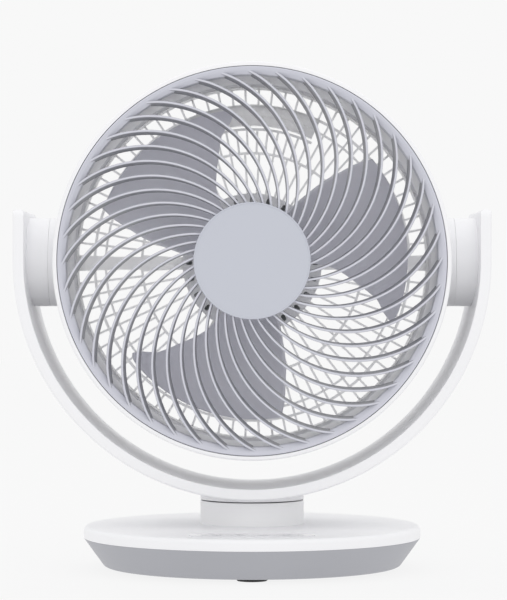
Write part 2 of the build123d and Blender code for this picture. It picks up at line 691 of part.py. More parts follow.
# Power inlet: a barrel socket with its centre pin
with BuildPart() as power_inlet:
    with Locations((0, INLET_FACE, INLET_FLOOR)):
        Box(INLET_WIDTH, INLET_LENGTH, INLET_HEIGHT, align=(Align.CENTER, Align.MAX, Align.MIN))
    with BuildSketch(Plane.XZ.offset(-INLET_FACE)):
        with Locations((0, INLET_FLOOR + INLET_HEIGHT / 2)):
            Circle(INLET_HOLE_RADIUS)
            Circle(INLET_PIN_RADIUS, mode=Mode.SUBTRACT)
    extrude(amount=INLET_LENGTH - 5, mode=Mode.SUBTRACT)
save(power_inlet, "power_inlet")

# Swivel gear motor: a flat can with two ears and an offset output
with BuildPart() as swivel_motor:
    with Locations((0, motor_middle, pan_top_of_floor + SEAT_GAP)):
        Cylinder(MOTOR_BODY_RADIUS, MOTOR_BODY_HEIGHT, align=ON_TOP)
    fillet(swivel_motor.edges().group_by(Axis.Z)[0], 1.5)
    with BuildSketch(Plane.XY.offset(motor_top - MOTOR_EAR)):
        with Locations((0, motor_middle)):
            SlotCenterToCenter(MOTOR_EAR_SPAN, MOTOR_EAR_WIDTH)
            with GridLocations(MOTOR_EAR_SPAN, 1, 2, 1):
                Circle(BASE_SCREW[0] + 0.2, mode=Mode.SUBTRACT)
    extrude(amount=MOTOR_EAR)
    with Locations((0, gear_distance, motor_top)):
        Cylinder(MOTOR_SHAFT_RADIUS + 2, 1.0, align=ON_TOP)
        Cylinder(MOTOR_SHAFT_RADIUS + SPINDLE_FIT, 2 * MOTOR_SHAFT_HOLE, mode=Mode.SUBTRACT)
save(swivel_motor, "swivel_motor")

motor_screw = make_screw(BASE_SCREW, EAR_SCREW_LENGTH)
with BuildPart(Plane.XY.offset(motor_top)) as swivel_motor_screws:
    with Locations((0, motor_middle)):
        with GridLocations(MOTOR_EAR_SPAN, 1, 2, 1):
            add(motor_screw.rotate(Axis.X, 180))
save(swivel_motor_screws, "swivel_motor_screws")

# Screws that close the base and hold the neck
post_screw = make_screw(BASE_SCREW, BASE_SCREW_LENGTH)
with BuildPart(Plane.XY.offset(PAN_BOTTOM + POST_WELL)) as base_screws:
    with PolarLocations(POST_RING, POST_COUNT, start_angle=45):
        add(post_screw)
save(base_screws, "base_screws")

neck_screw = make_screw(BASE_SCREW, NECK_SCREW_LENGTH)
with BuildPart(Plane.XY.offset(COVER_CROWN - COVER_WALL)) as neck_screws:
    with PolarLocations(NECK_POST_RING, NECK_POST_COUNT, start_angle=45):
        add(neck_screw)
save(neck_screws, "neck_screws")

# ================================================================ swivel drive
# Motor shaft and pinion, in mesh with the spindle gear behind the swivel axis
gear_bottom = GEAR_TOP - GEAR_FACE
shaft_bottom = motor_top - MOTOR_SHAFT_DEPTH
with BuildPart() as motor_shaft:
    with Locations((0, gear_distance, shaft_bottom)):
        Cylinder(MOTOR_SHAFT_RADIUS, GEAR_TOP + 0.4 - shaft_bottom, align=ON_TOP)
save(motor_shaft, "motor_shaft")

with BuildPart() as swivel_pinion:
    with BuildSketch(Plane(origin=(0, gear_distance, gear_bottom))):
        with BuildLine():
            Polyline(*gear_outline(PINION_TEETH, TOOTH_PLAY, -90), close=True)
        make_face()
        Circle(MOTOR_SHAFT_RADIUS + 0.02, mode=Mode.SUBTRACT)
    extrude(amount=GEAR_FACE)
save(swivel_pinion, "swivel_pinion")

# ================================================================ yoke
# Outer shell of the strap: a U-shaped channel, open towards the head, with the collar
# that turns on the neck and posts for the spindle's screws
strap_outside = strap_profile(YOKE_OUTER_RADIUS, YOKE_ARM_RISE)
strap_inside = strap_profile(YOKE_INNER_RADIUS, YOKE_ARM_RISE)
strap_hollow = strap_profile(YOKE_OUTER_RADIUS - YOKE_WALL, YOKE_ARM_RISE - YOKE_WALL)
saddle_outside = strap_profile(YOKE_OUTER_RADIUS + SEAT_GAP, 0)
cover_back = YOKE_INNER_RADIUS + YOKE_WALL
cover_rise = YOKE_ARM_RISE - YOKE_WALL - COVER_STRIP_GAP
cover_outside = strap_profile(cover_back, cover_rise)
hollow_depth = YOKE_DEPTH / 2 - YOKE_WALL
strap_bottom = AXIS_HEIGHT - YOKE_OUTER_RADIUS
collar_top = AXIS_HEIGHT - YOKE_INNER_RADIUS
with BuildPart() as yoke_shell:
    with Locations((0, 0, collar_bottom)):
        Cylinder(NECK_RADIUS, collar_top - collar_bottom, align=ON_TOP)
        Cylinder(NECK_RADIUS - COLLAR_WALL, collar_top - collar_bottom, align=ON_TOP, mode=Mode.SUBTRACT)
    extrude(strap_outside, amount=YOKE_DEPTH / 2, both=True)
    extrude(strap_inside, amount=YOKE_DEPTH / 2, both=True, mode=Mode.SUBTRACT)
    fillet(yoke_shell.edges().filter_by(Axis.X).group_by(Axis.Z)[-1], YOKE_END_ROUND)
    fillet(yoke_shell.edges().filter_by(on_yoke_outside), YOKE_EDGE)
    extrude(strap_hollow, amount=hollow_depth, both=True, mode=Mode.SUBTRACT)
    with Locations((0, 0, strap_bottom + YOKE_WALL)):
        with PolarLocations(SPINDLE_SCREW_RING, SPINDLE_SCREW_COUNT, start_angle=45):
            Cylinder(SPINDLE_POST_RADIUS, collar_top - YOKE_WALL - strap_bottom - YOKE_WALL, align=ON_TOP)
            Cylinder(SPINDLE_SCREW[0], YOKE_DEPTH, mode=Mode.SUBTRACT)
        Cylinder(SPINDLE_BORE, YOKE_WALL * 4, mode=Mode.SUBTRACT)
save(yoke_shell, "yoke_shell")

# Inner cover of the strap, with the screw holes of the pivot seats and the cable's holes
with BuildPart() as yoke_cover:
    extrude(cover_outside, amount=hollow_depth - COVER_STRIP_GAP, both=True)
    extrude(strap_inside, amount=hollow_depth, both=True, mode=Mode.SUBTRACT)
    with BuildSketch(RIGHT_SIDE):
        Circle(PIVOT_BORE)
        with PolarLocations(SEAT_POST_RING, SEAT_POST_COUNT, start_angle=90):
            Circle(SMALL_SCREW[0] + 0.2)
    extrude(amount=cover_back + 1, both=True, mode=Mode.SUBTRACT)
save(yoke_cover, "yoke_cover")

# Pivot seats: short round boxes between the strap and the head, cut to the strap
with BuildPart(RIGHT_SIDE) as pivot_seat_right:
    with Locations((0, 0, seat_face)):
        Cylinder(BOSS_RADIUS, YOKE_INNER_RADIUS - seat_face, align=ON_TOP)
        Cylinder(PIVOT_RADIUS + SEAT_GAP, SEAT_FACE, align=ON_TOP, mode=Mode.SUBTRACT)
    chamfer(pivot_seat_right.edges().group_by(Axis.X)[0].sort_by(SortBy.RADIUS)[-1], BOSS_CHAMFER)
    with Locations((0, 0, seat_back)):
        Cylinder(BOSS_RADIUS - BOSS_WALL, YOKE_INNER_RADIUS - seat_back, align=ON_TOP, mode=Mode.SUBTRACT)
        with PolarLocations(SEAT_POST_RING, SEAT_POST_COUNT, start_angle=90):
            Cylinder(SEAT_POST_RADIUS, YOKE_INNER_RADIUS - seat_back, align=ON_TOP)
            Cylinder(SMALL_SCREW[0], YOKE_INNER_RADIUS - seat_back, align=ON_TOP, mode=Mode.SUBTRACT)
    extrude(strap_inside, amount=YOKE_DEPTH / 2, both=True, mode=Mode.INTERSECT)
save(pivot_seat_right, "pivot_seat_right")

with BuildPart() as pivot_seat_left:
    mirror(pivot_seat_right.part, about=Plane.YZ)
save(pivot_seat_left, "pivot_seat_left")

seat_screw = make_screw(SMALL_SCREW, SEAT_SCREW_LENGTH)
SEAT_SCREWS = Plane(origin=(cover_back, 0, AXIS_HEIGHT), x_dir=(0, 1, 0), z_dir=(-1, 0, 0))
with BuildPart(SEAT_SCREWS) as seat_screws:
    with PolarLocations(SEAT_POST_RING, SEAT_POST_COUNT, start_angle=-90):
        add(seat_screw)
    mirror(about=Plane.YZ)
save(seat_screws, "seat_screws")

# Pivot pins: hollow for the cable, flanged outside, with a clip groove inside the head
bush_face = BOSS_SPLIT + PIVOT_BUSH_PROUD
bush_end = bush_face - PIVOT_BUSH_LENGTH
clip_face = bush_end - FLAT_GAP
clip_back = clip_face - PIVOT_CLIP_THICKNESS
pin_end = clip_back - PIVOT_CLIP_THICKNESS
with BuildPart(RIGHT_SIDE) as pivot_pin_right:
    with Locations((0, 0, pin_end)):
        Cylinder(PIVOT_RADIUS, seat_back - pin_end, align=ON_TOP)
    with BuildSketch(RIGHT_SIDE.offset(clip_back)):
        Circle(PIVOT_RADIUS + 1)
        Circle(PIVOT_RADIUS - PIVOT_GROOVE, mode=Mode.SUBTRACT)
    extrude(amount=PIVOT_CLIP_THICKNESS, mode=Mode.SUBTRACT)
    with Locations((0, 0, seat_back)):
        Cylinder(PIVOT_FLANGE_RADIUS, PIVOT_FLANGE, align=ON_TOP)
    with Locations((0, 0, pin_end)):
        Cylinder(PIVOT_BORE, seat_back + PIVOT_FLANGE - pin_end, align=ON_TOP, mode=Mode.SUBTRACT)
save(pivot_pin_right, "pivot_pin_right")

with BuildPart() as pivot_pin_left:
    mirror(pivot_pin_right.part, about=Plane.YZ)
save(pivot_pin_left, "pivot_pin_left")

with BuildPart(RIGHT_SIDE) as pivot_circlips:
    with BuildSketch(RIGHT_SIDE.offset(clip_back)):
        Circle(PIVOT_CLIP_RADIUS)
        Circle(PIVOT_RADIUS - PIVOT_GROOVE, mode=Mode.SUBTRACT)
        Rectangle(PIVOT_RADIUS, PIVOT_CLIP_RADIUS, align=(Align.CENTER, Align.MAX), mode=Mode.SUBTRACT)
    extrude(amount=PIVOT_CLIP_THICKNESS)
    mirror(about=Plane.YZ)
save(pivot_circlips, "pivot_circlips")

# Spindle: a saddle plate under the strap, the journal in the bush, the gear's seat and
# a bore for the cable
with BuildPart() as swivel_spindle:
    with Locations((0, 0, collar_bottom)):
        Cylinder(SPINDLE_FLANGE_RADIUS, collar_top - collar_bottom, align=ON_TOP)
    extrude(saddle_outside, amount=YOKE_DEPTH / 2, both=True, mode=Mode.SUBTRACT)
    with Locations((0, 0, GEAR_TOP)):
        Cylinder(SPINDLE_RADIUS, collar_bottom - GEAR_TOP, align=ON_TOP)
        Cylinder(SPINDLE_STEP_RADIUS, GEAR_FACE + SPINDLE_NUT, align=HANGING)
    with BuildSketch(Plane.XY.offset(NECK_HUB_BOTTOM - FLAT_GAP - CIRCLIP_THICKNESS)):
        Circle(SPINDLE_RADIUS + 1)
        Circle(SPINDLE_RADIUS - CIRCLIP_GROOVE, mode=Mode.SUBTRACT)
    extrude(amount=CIRCLIP_THICKNESS, mode=Mode.SUBTRACT)
    Cylinder(SPINDLE_BORE, AXIS_HEIGHT, mode=Mode.SUBTRACT)
    with Locations((0, 0, collar_bottom)):
        with PolarLocations(SPINDLE_SCREW_RING, SPINDLE_SCREW_COUNT, start_angle=45):
            Cylinder(SPINDLE_SCREW[0] + 0.2, YOKE_WALL * 3, align=ON_TOP, mode=Mode.SUBTRACT)
            Cylinder(SPINDLE_SCREW[1] + 0.3, SPINDLE_SCREW[2], align=ON_TOP, mode=Mode.SUBTRACT)
save(swivel_spindle, "swivel_spindle")

with BuildPart() as spindle_circlip:
    with BuildSketch(Plane.XY.offset(NECK_HUB_BOTTOM - FLAT_GAP - CIRCLIP_THICKNESS)):
        Circle(CIRCLIP_RADIUS)
        Circle(SPINDLE_RADIUS - CIRCLIP_GROOVE, mode=Mode.SUBTRACT)
        Rectangle(SPINDLE_RADIUS, CIRCLIP_RADIUS, align=(Align.CENTER, Align.MAX), mode=Mode.SUBTRACT)
    extrude(amount=CIRCLIP_THICKNESS)
save(spindle_circlip, "spindle_circlip")

with BuildPart() as swivel_gear:
    with BuildSketch(Plane.XY.offset(gear_bottom)):
        with BuildLine():
            Polyline(*gear_outline(SPINDLE_TEETH, TOOTH_PLAY, 90 + 180 / SPINDLE_TEETH), close=True)
        make_face()
        Circle(SPINDLE_STEP_RADIUS + 0.02, mode=Mode.SUBTRACT)
    extrude(amount=GEAR_FACE)
save(swivel_gear, "swivel_gear")

with BuildPart() as spindle_nut:
    with Locations((0, 0, gear_bottom)):
        Cylinder(SPINDLE_NUT_RADIUS, SPINDLE_NUT, align=HANGING)
        with PolarLocations(SPINDLE_NUT_RADIUS, 4):
            Box(4, 3, SPINDLE_NUT, align=HANGING, mode=Mode.SUBTRACT)
        Cylinder(SPINDLE_STEP_RADIUS + 0.02, SPINDLE_NUT, align=HANGING, mode=Mode.SUBTRACT)
save(spindle_nut, "spindle_nut")

saddle_screw = make_screw(SPINDLE_SCREW, SADDLE_SCREW_LENGTH)
with BuildPart(Plane.XY.offset(collar_bottom + SPINDLE_SCREW[2])) as spindle_screws:
    with PolarLocations(SPINDLE_SCREW_RING, SPINDLE_SCREW_COUNT, start_angle=45):
        add(saddle_screw)
save(spindle_screws, "spindle_screws")

# ================================================================ head: shell and duct
# Front shell: a drum that flares a little to the rear, with a round boss on each side
# for the pivots, a flange that seats the duct, and posts for the rear screws
lip_inside = RIM_RADIUS + SHELL_LIP_GAP
shell_inside = SHELL_RADIUS - SHELL_WALL
with BuildPart() as front_shell:
    with BuildSketch(RADIAL) as shell_profile:
        with BuildLine():
            Polyline(
                (0, SHELL_LIP_FRONT),
                (SHELL_LIP_RADIUS, SHELL_LIP_FRONT),
                (SHELL_RADIUS, SHELL_FLARE),
                (SHELL_RADIUS, SHELL_SPLIT),
                (0, SHELL_SPLIT),
                close=True,
            )
        make_face()
        fillet(
            shell_profile.vertices().sort_by_distance((SHELL_LIP_RADIUS, SHELL_LIP_FRONT))[0],
            SHELL_LIP_EDGE,
        )
    revolve(axis=FAN_AXIS)
    with BuildSketch(RIGHT_SIDE):
        Circle(BOSS_RADIUS)
    extrude(amount=BOSS_SPLIT, both=True)
    chamfer(front_shell.edges().filter_by(GeomType.CIRCLE).group_by(Axis.X)[0], BOSS_CHAMFER)
    chamfer(front_shell.edges().filter_by(GeomType.CIRCLE).group_by(Axis.X)[-1], BOSS_CHAMFER)
    with BuildSketch(RADIAL):
        with BuildLine():
            Polyline(
                (0, SHELL_LIP_FRONT),
                (lip_inside, SHELL_LIP_FRONT),
                (lip_inside, RIM_BACK),
                (SHELL_LEDGE_RADIUS, RIM_BACK),
                (shell_inside, SHELL_FLARE),
                (shell_inside, SHELL_SPLIT),
                (0, SHELL_SPLIT),
                close=True,
            )
        make_face()
    revolve(axis=FAN_AXIS, mode=Mode.SUBTRACT)
    with BuildSketch(RIGHT_SIDE):
        Circle(BOSS_RADIUS - BOSS_WALL)
    extrude(amount=BOSS_SPLIT - BOSS_END_WALL, both=True, mode=Mode.SUBTRACT)
    with BuildSketch(RIGHT_SIDE.offset(bush_end), RIGHT_SIDE.offset(-BOSS_SPLIT)):
        Circle(PIVOT_RADIUS + PIVOT_FIT + PIVOT_BUSH_WALL + PIVOT_HUB_WALL)
    extrude(amount=BOSS_SPLIT - bush_end)
    with BuildSketch(RIGHT_SIDE):
        Circle(PIVOT_RADIUS + PIVOT_FIT + PIVOT_BUSH_WALL + SEAT_GAP)
    extrude(amount=BOSS_SPLIT, both=True, mode=Mode.SUBTRACT)
    bush_sink = PIVOT_BUSH_FLANGE - PIVOT_BUSH_PROUD
    with BuildSketch(RIGHT_SIDE.offset(BOSS_SPLIT - bush_sink), RIGHT_SIDE.offset(-BOSS_SPLIT)):
        Circle(PIVOT_BUSH_FLANGE_RADIUS + SEAT_GAP)
    extrude(amount=bush_sink, mode=Mode.SUBTRACT)
    with BuildSketch(HEAD.offset(DUCT_BACK - DUCT_SEAT)):
        Circle(shell_inside + 1)
        Circle(DUCT_SEAT_RADIUS, mode=Mode.SUBTRACT)
    extrude(amount=DUCT_SEAT)
    with BuildSketch(HEAD.offset(SHELL_SPLIT)):
        with PolarLocations(SHELL_SCREW_RING, SHELL_SCREW_COUNT, start_angle=30):
            Circle(SHELL_POST_RADIUS)
            Circle(SMALL_SCREW[0], mode=Mode.SUBTRACT)
    extrude(amount=DUCT_BACK - DUCT_SEAT - SHELL_SPLIT)
save(front_shell, "front_shell")

with BuildPart(RIGHT_SIDE) as tilt_bush_right:
    with Locations((0, 0, bush_face)):
        Cylinder(PIVOT_BUSH_FLANGE_RADIUS, PIVOT_BUSH_FLANGE, align=HANGING)
        Cylinder(PIVOT_RADIUS + PIVOT_FIT + PIVOT_BUSH_WALL, PIVOT_BUSH_LENGTH, align=HANGING)
        Cylinder(PIVOT_RADIUS + PIVOT_FIT, PIVOT_BUSH_LENGTH, align=HANGING, mode=Mode.SUBTRACT)
save(tilt_bush_right, "tilt_bush_right")

with BuildPart() as tilt_bush_left:
    mirror(tilt_bush_right.part, about=Plane.YZ)
save(tilt_bush_left, "tilt_bush_left")

# Duct: the thin cylinder round the impeller
with BuildPart(HEAD) as duct_ring:
    with Locations((0, 0, DUCT_BACK)):
        Cylinder(DUCT_RADIUS + DUCT_WALL, RIM_BACK - DUCT_BACK, align=ON_TOP)
        Cylinder(DUCT_RADIUS, RIM_BACK - DUCT_BACK, align=ON_TOP, mode=Mode.SUBTRACT)
save(duct_ring, "duct_ring")

# ================================================================ head: front grille
# One swirl rib, in its own frame: a thin curved wall, twisted a little over its depth
with BuildPart() as rib:
    outer_arc = rib_section(RIB_ARC_RADIUS + RIB_THICKNESS / 2, RIB_INNER, RIB_OUTER)
    inner_arc = rib_section(RIB_ARC_RADIUS - RIB_THICKNESS / 2, RIB_INNER, RIB_OUTER)
    with BuildSketch(Plane.XY.offset(RIB_TAIL).rotated((0, 0, RIB_TWIST)), Plane.XY.offset(RIB_NOSE)):
        with BuildLine():
            ThreePointArc(*outer_arc)
            Line(outer_arc[-1], inner_arc[-1])
            ThreePointArc(*inner_arc)
            Line(outer_arc[0], inner_arc[0])
        make_face()
    loft(ruled=True)
    with BuildSketch(Plane.XZ):
        with BuildLine():
            Polyline(
                (RIB_INNER - 2, CAP_FRONT - CAP_THICKNESS),
                (CAP_RADIUS + 0.2, CAP_FRONT - CAP_THICKNESS),
                (CAP_RADIUS + 0.2, GRILLE_CROWN),
                (RIM_INNER_RADIUS - 2.6, GRILLE_SHOULDER),
                (RIB_OUTER + 0.4, GRILLE_END),
                (RIB_OUTER + 0.4, rim_face(RIB_OUTER) - RIM_WALL / 2),
                (RIM_INNER_RADIUS + RIM_WALL / 2, rim_face(RIM_INNER_RADIUS) - RIM_WALL / 2),
                (RIM_INNER_RADIUS + RIM_WALL / 2, GRILLE_SHOULDER - RIB_DEPTH_RIM),
                (HUB_PLATE_RADIUS, GRILLE_CROWN - RIB_DEPTH_HUB),
                (RIB_INNER - 2, GRILLE_CROWN - RIB_DEPTH_HUB),
                close=True,
            )
        make_face()
    revolve(axis=Axis.Z, mode=Mode.INTERSECT)

# Front grille: the rim channel, the plate behind the hub cap, the ribs between them, and
# tabs that grip inside the shell
rim_inside = (RIM_INNER_RADIUS + RIM_WALL, rim_face(RIM_INNER_RADIUS + RIM_WALL) - RIM_WALL)
rim_corner = (RIM_RADIUS - RIM_WALL, rim_face(RIM_RADIUS - RIM_WALL) - RIM_WALL)
with BuildPart(HEAD) as front_grille:
    with BuildSketch(RADIAL) as rim_profile:
        with BuildLine():
            Polyline(
                (RIM_RADIUS, RIM_BACK),
                (RIM_RADIUS, RIM_FRONT),
                (RIM_INNER_RADIUS, rim_face(RIM_INNER_RADIUS)),
                (RIM_INNER_RADIUS, RIM_BACK),
                (RIM_INNER_RADIUS + RIM_WALL, RIM_BACK),
                rim_inside,
                rim_corner,
                (RIM_RADIUS - RIM_WALL, RIM_BACK),
                close=True,
            )
        make_face()
        fillet(rim_profile.vertices().sort_by_distance((RIM_RADIUS, RIM_FRONT))[0], RIM_EDGE)
        fillet(
            rim_profile.vertices().sort_by_distance((RIM_INNER_RADIUS, rim_face(RIM_INNER_RADIUS)))[0],
            RIM_WALL / 2,
        )
        fillet(rim_profile.vertices().sort_by_distance(rim_corner)[0], RIM_EDGE / 2)
    revolve(axis=FAN_AXIS)
    with Locations((0, 0, CAP_FRONT - CAP_THICKNESS)):
        Cylinder(HUB_PLATE_RADIUS, HUB_PLATE, align=HANGING)
    with PolarLocations(0, RIB_COUNT):
        add(rib.part)
    tab_radius = SHELL_LEDGE_RADIUS - SEAT_GAP
    with BuildSketch(HEAD.offset(RIM_BACK - GRILLE_TAB_LENGTH)):
        with PolarLocations(tab_radius - GRILLE_TAB / 2, GRILLE_TAB_COUNT):
            Rectangle(GRILLE_TAB, GRILLE_TAB_WIDTH)
        Circle(tab_radius, mode=Mode.INTERSECT)
    extrude(amount=rim_corner[1] - RIM_BACK + GRILLE_TAB_LENGTH)
save(front_grille, "front_grille")

# Hub cap: a flat disc with a slightly raised edge
with BuildPart(HEAD) as hub_cap:
    with Locations((0, 0, CAP_FRONT)):
        Cylinder(CAP_RADIUS, CAP_THICKNESS, align=HANGING)
        fillet(hub_cap.edges().sort_by(Axis.Y)[0], 0.5)
        Cylinder(CAP_RADIUS - CAP_EDGE, CAP_SINK, align=HANGING, mode=Mode.SUBTRACT)
save(hub_cap, "hub_cap")

# ================================================================ head: rear grille
# Spokes and rings are drawn flat and kept where the coned wall lies; the skirt, the
# screw wells and the motor's hub are added to them
grip_zone = sector(GRIP_INNER - GRIP_SLOT, GRIP_OUTER + GRIP_GAP, GRIP_HALF_ANGLE)
grip_rail = sector(GRIP_INNER - GRIP_SLOT - GRIP_RAIL, GRIP_INNER - GRIP_SLOT, GRIP_HALF_ANGLE + 0.8)
grille_rings = [ring(radius - width / 2, radius + width / 2) for radius, width in REAR_RINGS]
coarse_reach = REAR_RINGS[-1][0]
coarse_turn = 180 / REAR_COARSE_SPOKES
fine_turn = 180 / REAR_FINE_SPOKES
hub_inner = REAR_HUB_RADIUS - REAR_HUB_WALL
well_radius = SMALL_SCREW[1] + REAR_WELL_GAP
web_face = CUP_FLANGE_FACE - CUP_FLANGE
skirt_floor = SHELL_BACK + SHELL_WALL
lip_front = DUCT_BACK - DUCT_SEAT - FLAT_GAP
with BuildPart() as rear_grille:
    with BuildSketch(HEAD.offset(REAR_HUB_END)):
        with PolarLocations((coarse_reach + hub_inner) / 2, REAR_COARSE_SPOKES, coarse_turn):
            Rectangle(coarse_reach - hub_inner, REAR_SPOKE)
        with PolarLocations((coarse_reach + REAR_OPEN_RADIUS) / 2, REAR_FINE_SPOKES, fine_turn):
            Rectangle(REAR_OPEN_RADIUS - coarse_reach + 1, REAR_SPOKE)
        Rectangle(2 * REAR_OPEN_RADIUS + 1, REAR_BAR)
        add(grille_rings)
        add(grip_zone, mode=Mode.SUBTRACT)
        add(grip_rail)
        Circle(hub_inner, mode=Mode.SUBTRACT)
    extrude(amount=REAR_HUB_FRONT - REAR_HUB_END)
    with BuildSketch(RADIAL):
        with BuildLine():
            Polyline(
                (hub_inner, grille_face(hub_inner)),
                (REAR_OPEN_RADIUS + 1, grille_face(REAR_OPEN_RADIUS + 1)),
                (REAR_OPEN_RADIUS + 1, grille_face(REAR_OPEN_RADIUS + 1) + REAR_DEPTH),
                (hub_inner, grille_face(hub_inner) + REAR_DEPTH),
                close=True,
            )
        make_face()
    revolve(axis=FAN_AXIS, mode=Mode.INTERSECT)
    with BuildSketch(RADIAL) as skirt_profile:
        with BuildLine():
            Polyline(
                (SHELL_RADIUS, SHELL_SPLIT),
                (SHELL_RADIUS, SHELL_BACK),
                (REAR_OPEN_RADIUS + 3, SHELL_BACK),
                (REAR_OPEN_RADIUS, REAR_RIM_BACK),
                (REAR_OPEN_RADIUS, lip_front),
                (REAR_OPEN_RADIUS + REAR_INNER_WALL, lip_front),
                (REAR_OPEN_RADIUS + REAR_INNER_WALL, skirt_floor),
                (shell_inside, skirt_floor),
                (shell_inside, SHELL_SPLIT),
                close=True,
            )
        make_face()
        fillet(skirt_profile.vertices().sort_by_distance((SHELL_RADIUS, SHELL_BACK))[0], SHELL_BACK_EDGE)
        fillet(
            skirt_profile.vertices().sort_by_distance((shell_inside, skirt_floor))[0],
            SHELL_BACK_EDGE - SHELL_WALL,
        )
    revolve(axis=FAN_AXIS)
    with BuildSketch(HEAD.offset(skirt_floor)):
        with PolarLocations(SHELL_SCREW_RING, SHELL_SCREW_COUNT, start_angle=30):
            Circle(well_radius + REAR_WELL_WALL)
    extrude(amount=SHELL_SPLIT - skirt_floor)
    with BuildSketch(HEAD.offset(SHELL_SPLIT)):
        with PolarLocations(SHELL_SCREW_RING, SHELL_SCREW_COUNT, start_angle=30):
            Circle(SMALL_SCREW[0] + 0.2)
    extrude(amount=SHELL_BACK - SHELL_SPLIT - 1, mode=Mode.SUBTRACT)
    with BuildSketch(HEAD.offset(REAR_WELL_FLOOR)):
        with PolarLocations(SHELL_SCREW_RING, SHELL_SCREW_COUNT, start_angle=30):
            Circle(well_radius)
    extrude(amount=SHELL_BACK - REAR_WELL_FLOOR - 1, mode=Mode.SUBTRACT)
    with BuildSketch(HEAD.offset(REAR_HUB_END)):
        add(ring(hub_inner, REAR_HUB_RADIUS))
    extrude(amount=REAR_HUB_FRONT - REAR_HUB_END)
    with BuildSketch(HEAD.offset(web_face)):
        add(ring(CUP_RADIUS + SEAT_GAP, hub_inner + REAR_HUB_WALL / 2))
        with PolarLocations(MOTOR_SCREW_RING, MOTOR_SCREW_COUNT, start_angle=90):
            Circle(TINY_SCREW[0], mode=Mode.SUBTRACT)
    extrude(amount=-HUB_WEB)
save(rear_grille, "rear_grille")

shell_screw = make_screw(SMALL_SCREW, SHELL_SCREW_LENGTH)
with BuildPart(HEAD.offset(REAR_WELL_FLOOR)) as shell_screws:
    with PolarLocations(SHELL_SCREW_RING, SHELL_SCREW_COUNT, start_angle=30):
        add(shell_screw)
save(shell_screws, "shell_screws")

# Carrying grip: a pocket for the fingers, open to the rear
grip_inset = degrees(GRIP_WALL / GRIP_INNER)
grip_outline = sector(GRIP_INNER, GRIP_OUTER, GRIP_HALF_ANGLE)
grip_hollow = sector(GRIP_INNER + GRIP_WALL, GRIP_OUTER - GRIP_WALL, GRIP_HALF_ANGLE - grip_inset)
line_radius, line_width, line_depth = GRIP_LINE
grip_line = sector(line_radius - line_width / 2, line_radius + line_width / 2, GRIP_HALF_ANGLE - grip_inset)
with BuildPart() as carry_grip:
    with BuildSketch(HEAD.offset(GRIP_BACK)):
        add(grip_outline)
    extrude(amount=GRIP_FRONT - GRIP_BACK)
    fillet(carry_grip.edges().group_by(Axis.Y)[-1], 0.6)
    with BuildSketch(HEAD.offset(GRIP_BACK)):
        add(grip_hollow)
    extrude(amount=GRIP_FRONT - GRIP_WALL - GRIP_BACK, mode=Mode.SUBTRACT)
    with BuildSketch(HEAD.offset(GRIP_FRONT)):
        add(grip_line)
    extrude(amount=-line_depth, mode=Mode.SUBTRACT)
save(carry_grip, "carry_grip")

# ================================================================ motor
# Shield in front of the motor, with a ring of vent slots
with BuildPart() as motor_shield:
    with BuildSketch(HEAD.offset(REAR_HUB_FRONT)):
        Circle(SHIELD_RADIUS)
        Circle(SHIELD_HOLE, mode=Mode.SUBTRACT)
        with PolarLocations(SHIELD_SLOT_RING, SHIELD_SLOTS):
            SlotOverall(*SHIELD_SLOT, mode=Mode.SUBTRACT)
    extrude(amount=SHIELD_THICKNESS)
    shield_rims = motor_shield.edges().group_by(Axis.Y)[0].filter_by(GeomType.CIRCLE)
    chamfer(shield_rims.sort_by(SortBy.RADIUS)[-1], 0.5)
save(motor_shield, "motor_shield")

# Can that holds the stator and the rear bearing, hung by its flange in the grille's hub
with BuildPart(HEAD) as motor_cup:
    with Locations((0, 0, CUP_BACK)):
        Cylinder(CUP_RADIUS, CUP_FRONT - CUP_BACK, align=ON_TOP)
    with Locations((0, 0, CUP_FLANGE_FACE)):
        Cylinder(hub_inner - SEAT_GAP, CUP_FLANGE, align=HANGING)
    with Locations((0, 0, CUP_BACK + CUP_WALL)):
        Cylinder(CUP_RADIUS - CUP_WALL, CUP_FRONT - CUP_BACK, align=ON_TOP, mode=Mode.SUBTRACT)
        Cylinder(BEARING_RADIUS + BEARING_WALL, BEARING_WIDTH, align=ON_TOP)
        Cylinder(BEARING_RADIUS + SEAT_GAP, BEARING_WIDTH, align=ON_TOP, mode=Mode.SUBTRACT)
    with Locations((0, 0, CUP_FLANGE_FACE)):
        with PolarLocations(MOTOR_SCREW_RING, MOTOR_SCREW_COUNT, start_angle=90):
            Cylinder(TINY_SCREW[0] + 0.1, CUP_FLANGE, align=HANGING, mode=Mode.SUBTRACT)
save(motor_cup, "motor_cup")

hub_screw = make_screw(TINY_SCREW, HUB_SCREW_LENGTH)
with BuildPart(HEAD.offset(CUP_FLANGE_FACE)) as motor_screws:
    with PolarLocations(MOTOR_SCREW_RING, MOTOR_SCREW_COUNT, start_angle=90):
        add(hub_screw.rotate(Axis.X, 180))
save(motor_screws, "motor_screws")

# Bell that closes the can and holds the front bearing
cup_inside = CUP_RADIUS - CUP_WALL
with BuildPart(HEAD) as motor_bell:
    with Locations((0, 0, CUP_FRONT)):
        Cylinder(cup_inside - SEAT_GAP, BELL, align=HANGING)
        Cylinder(BEARING_RADIUS + BEARING_WALL, BELL + BEARING_WIDTH, align=HANGING)
        Cylinder(SHIELD_HOLE, BELL, align=HANGING, mode=Mode.SUBTRACT)
    with Locations((0, 0, CUP_FRONT - BELL)):
        Cylinder(BEARING_RADIUS + SEAT_GAP, BEARING_WIDTH, align=HANGING, mode=Mode.SUBTRACT)
save(motor_bell, "motor_bell")

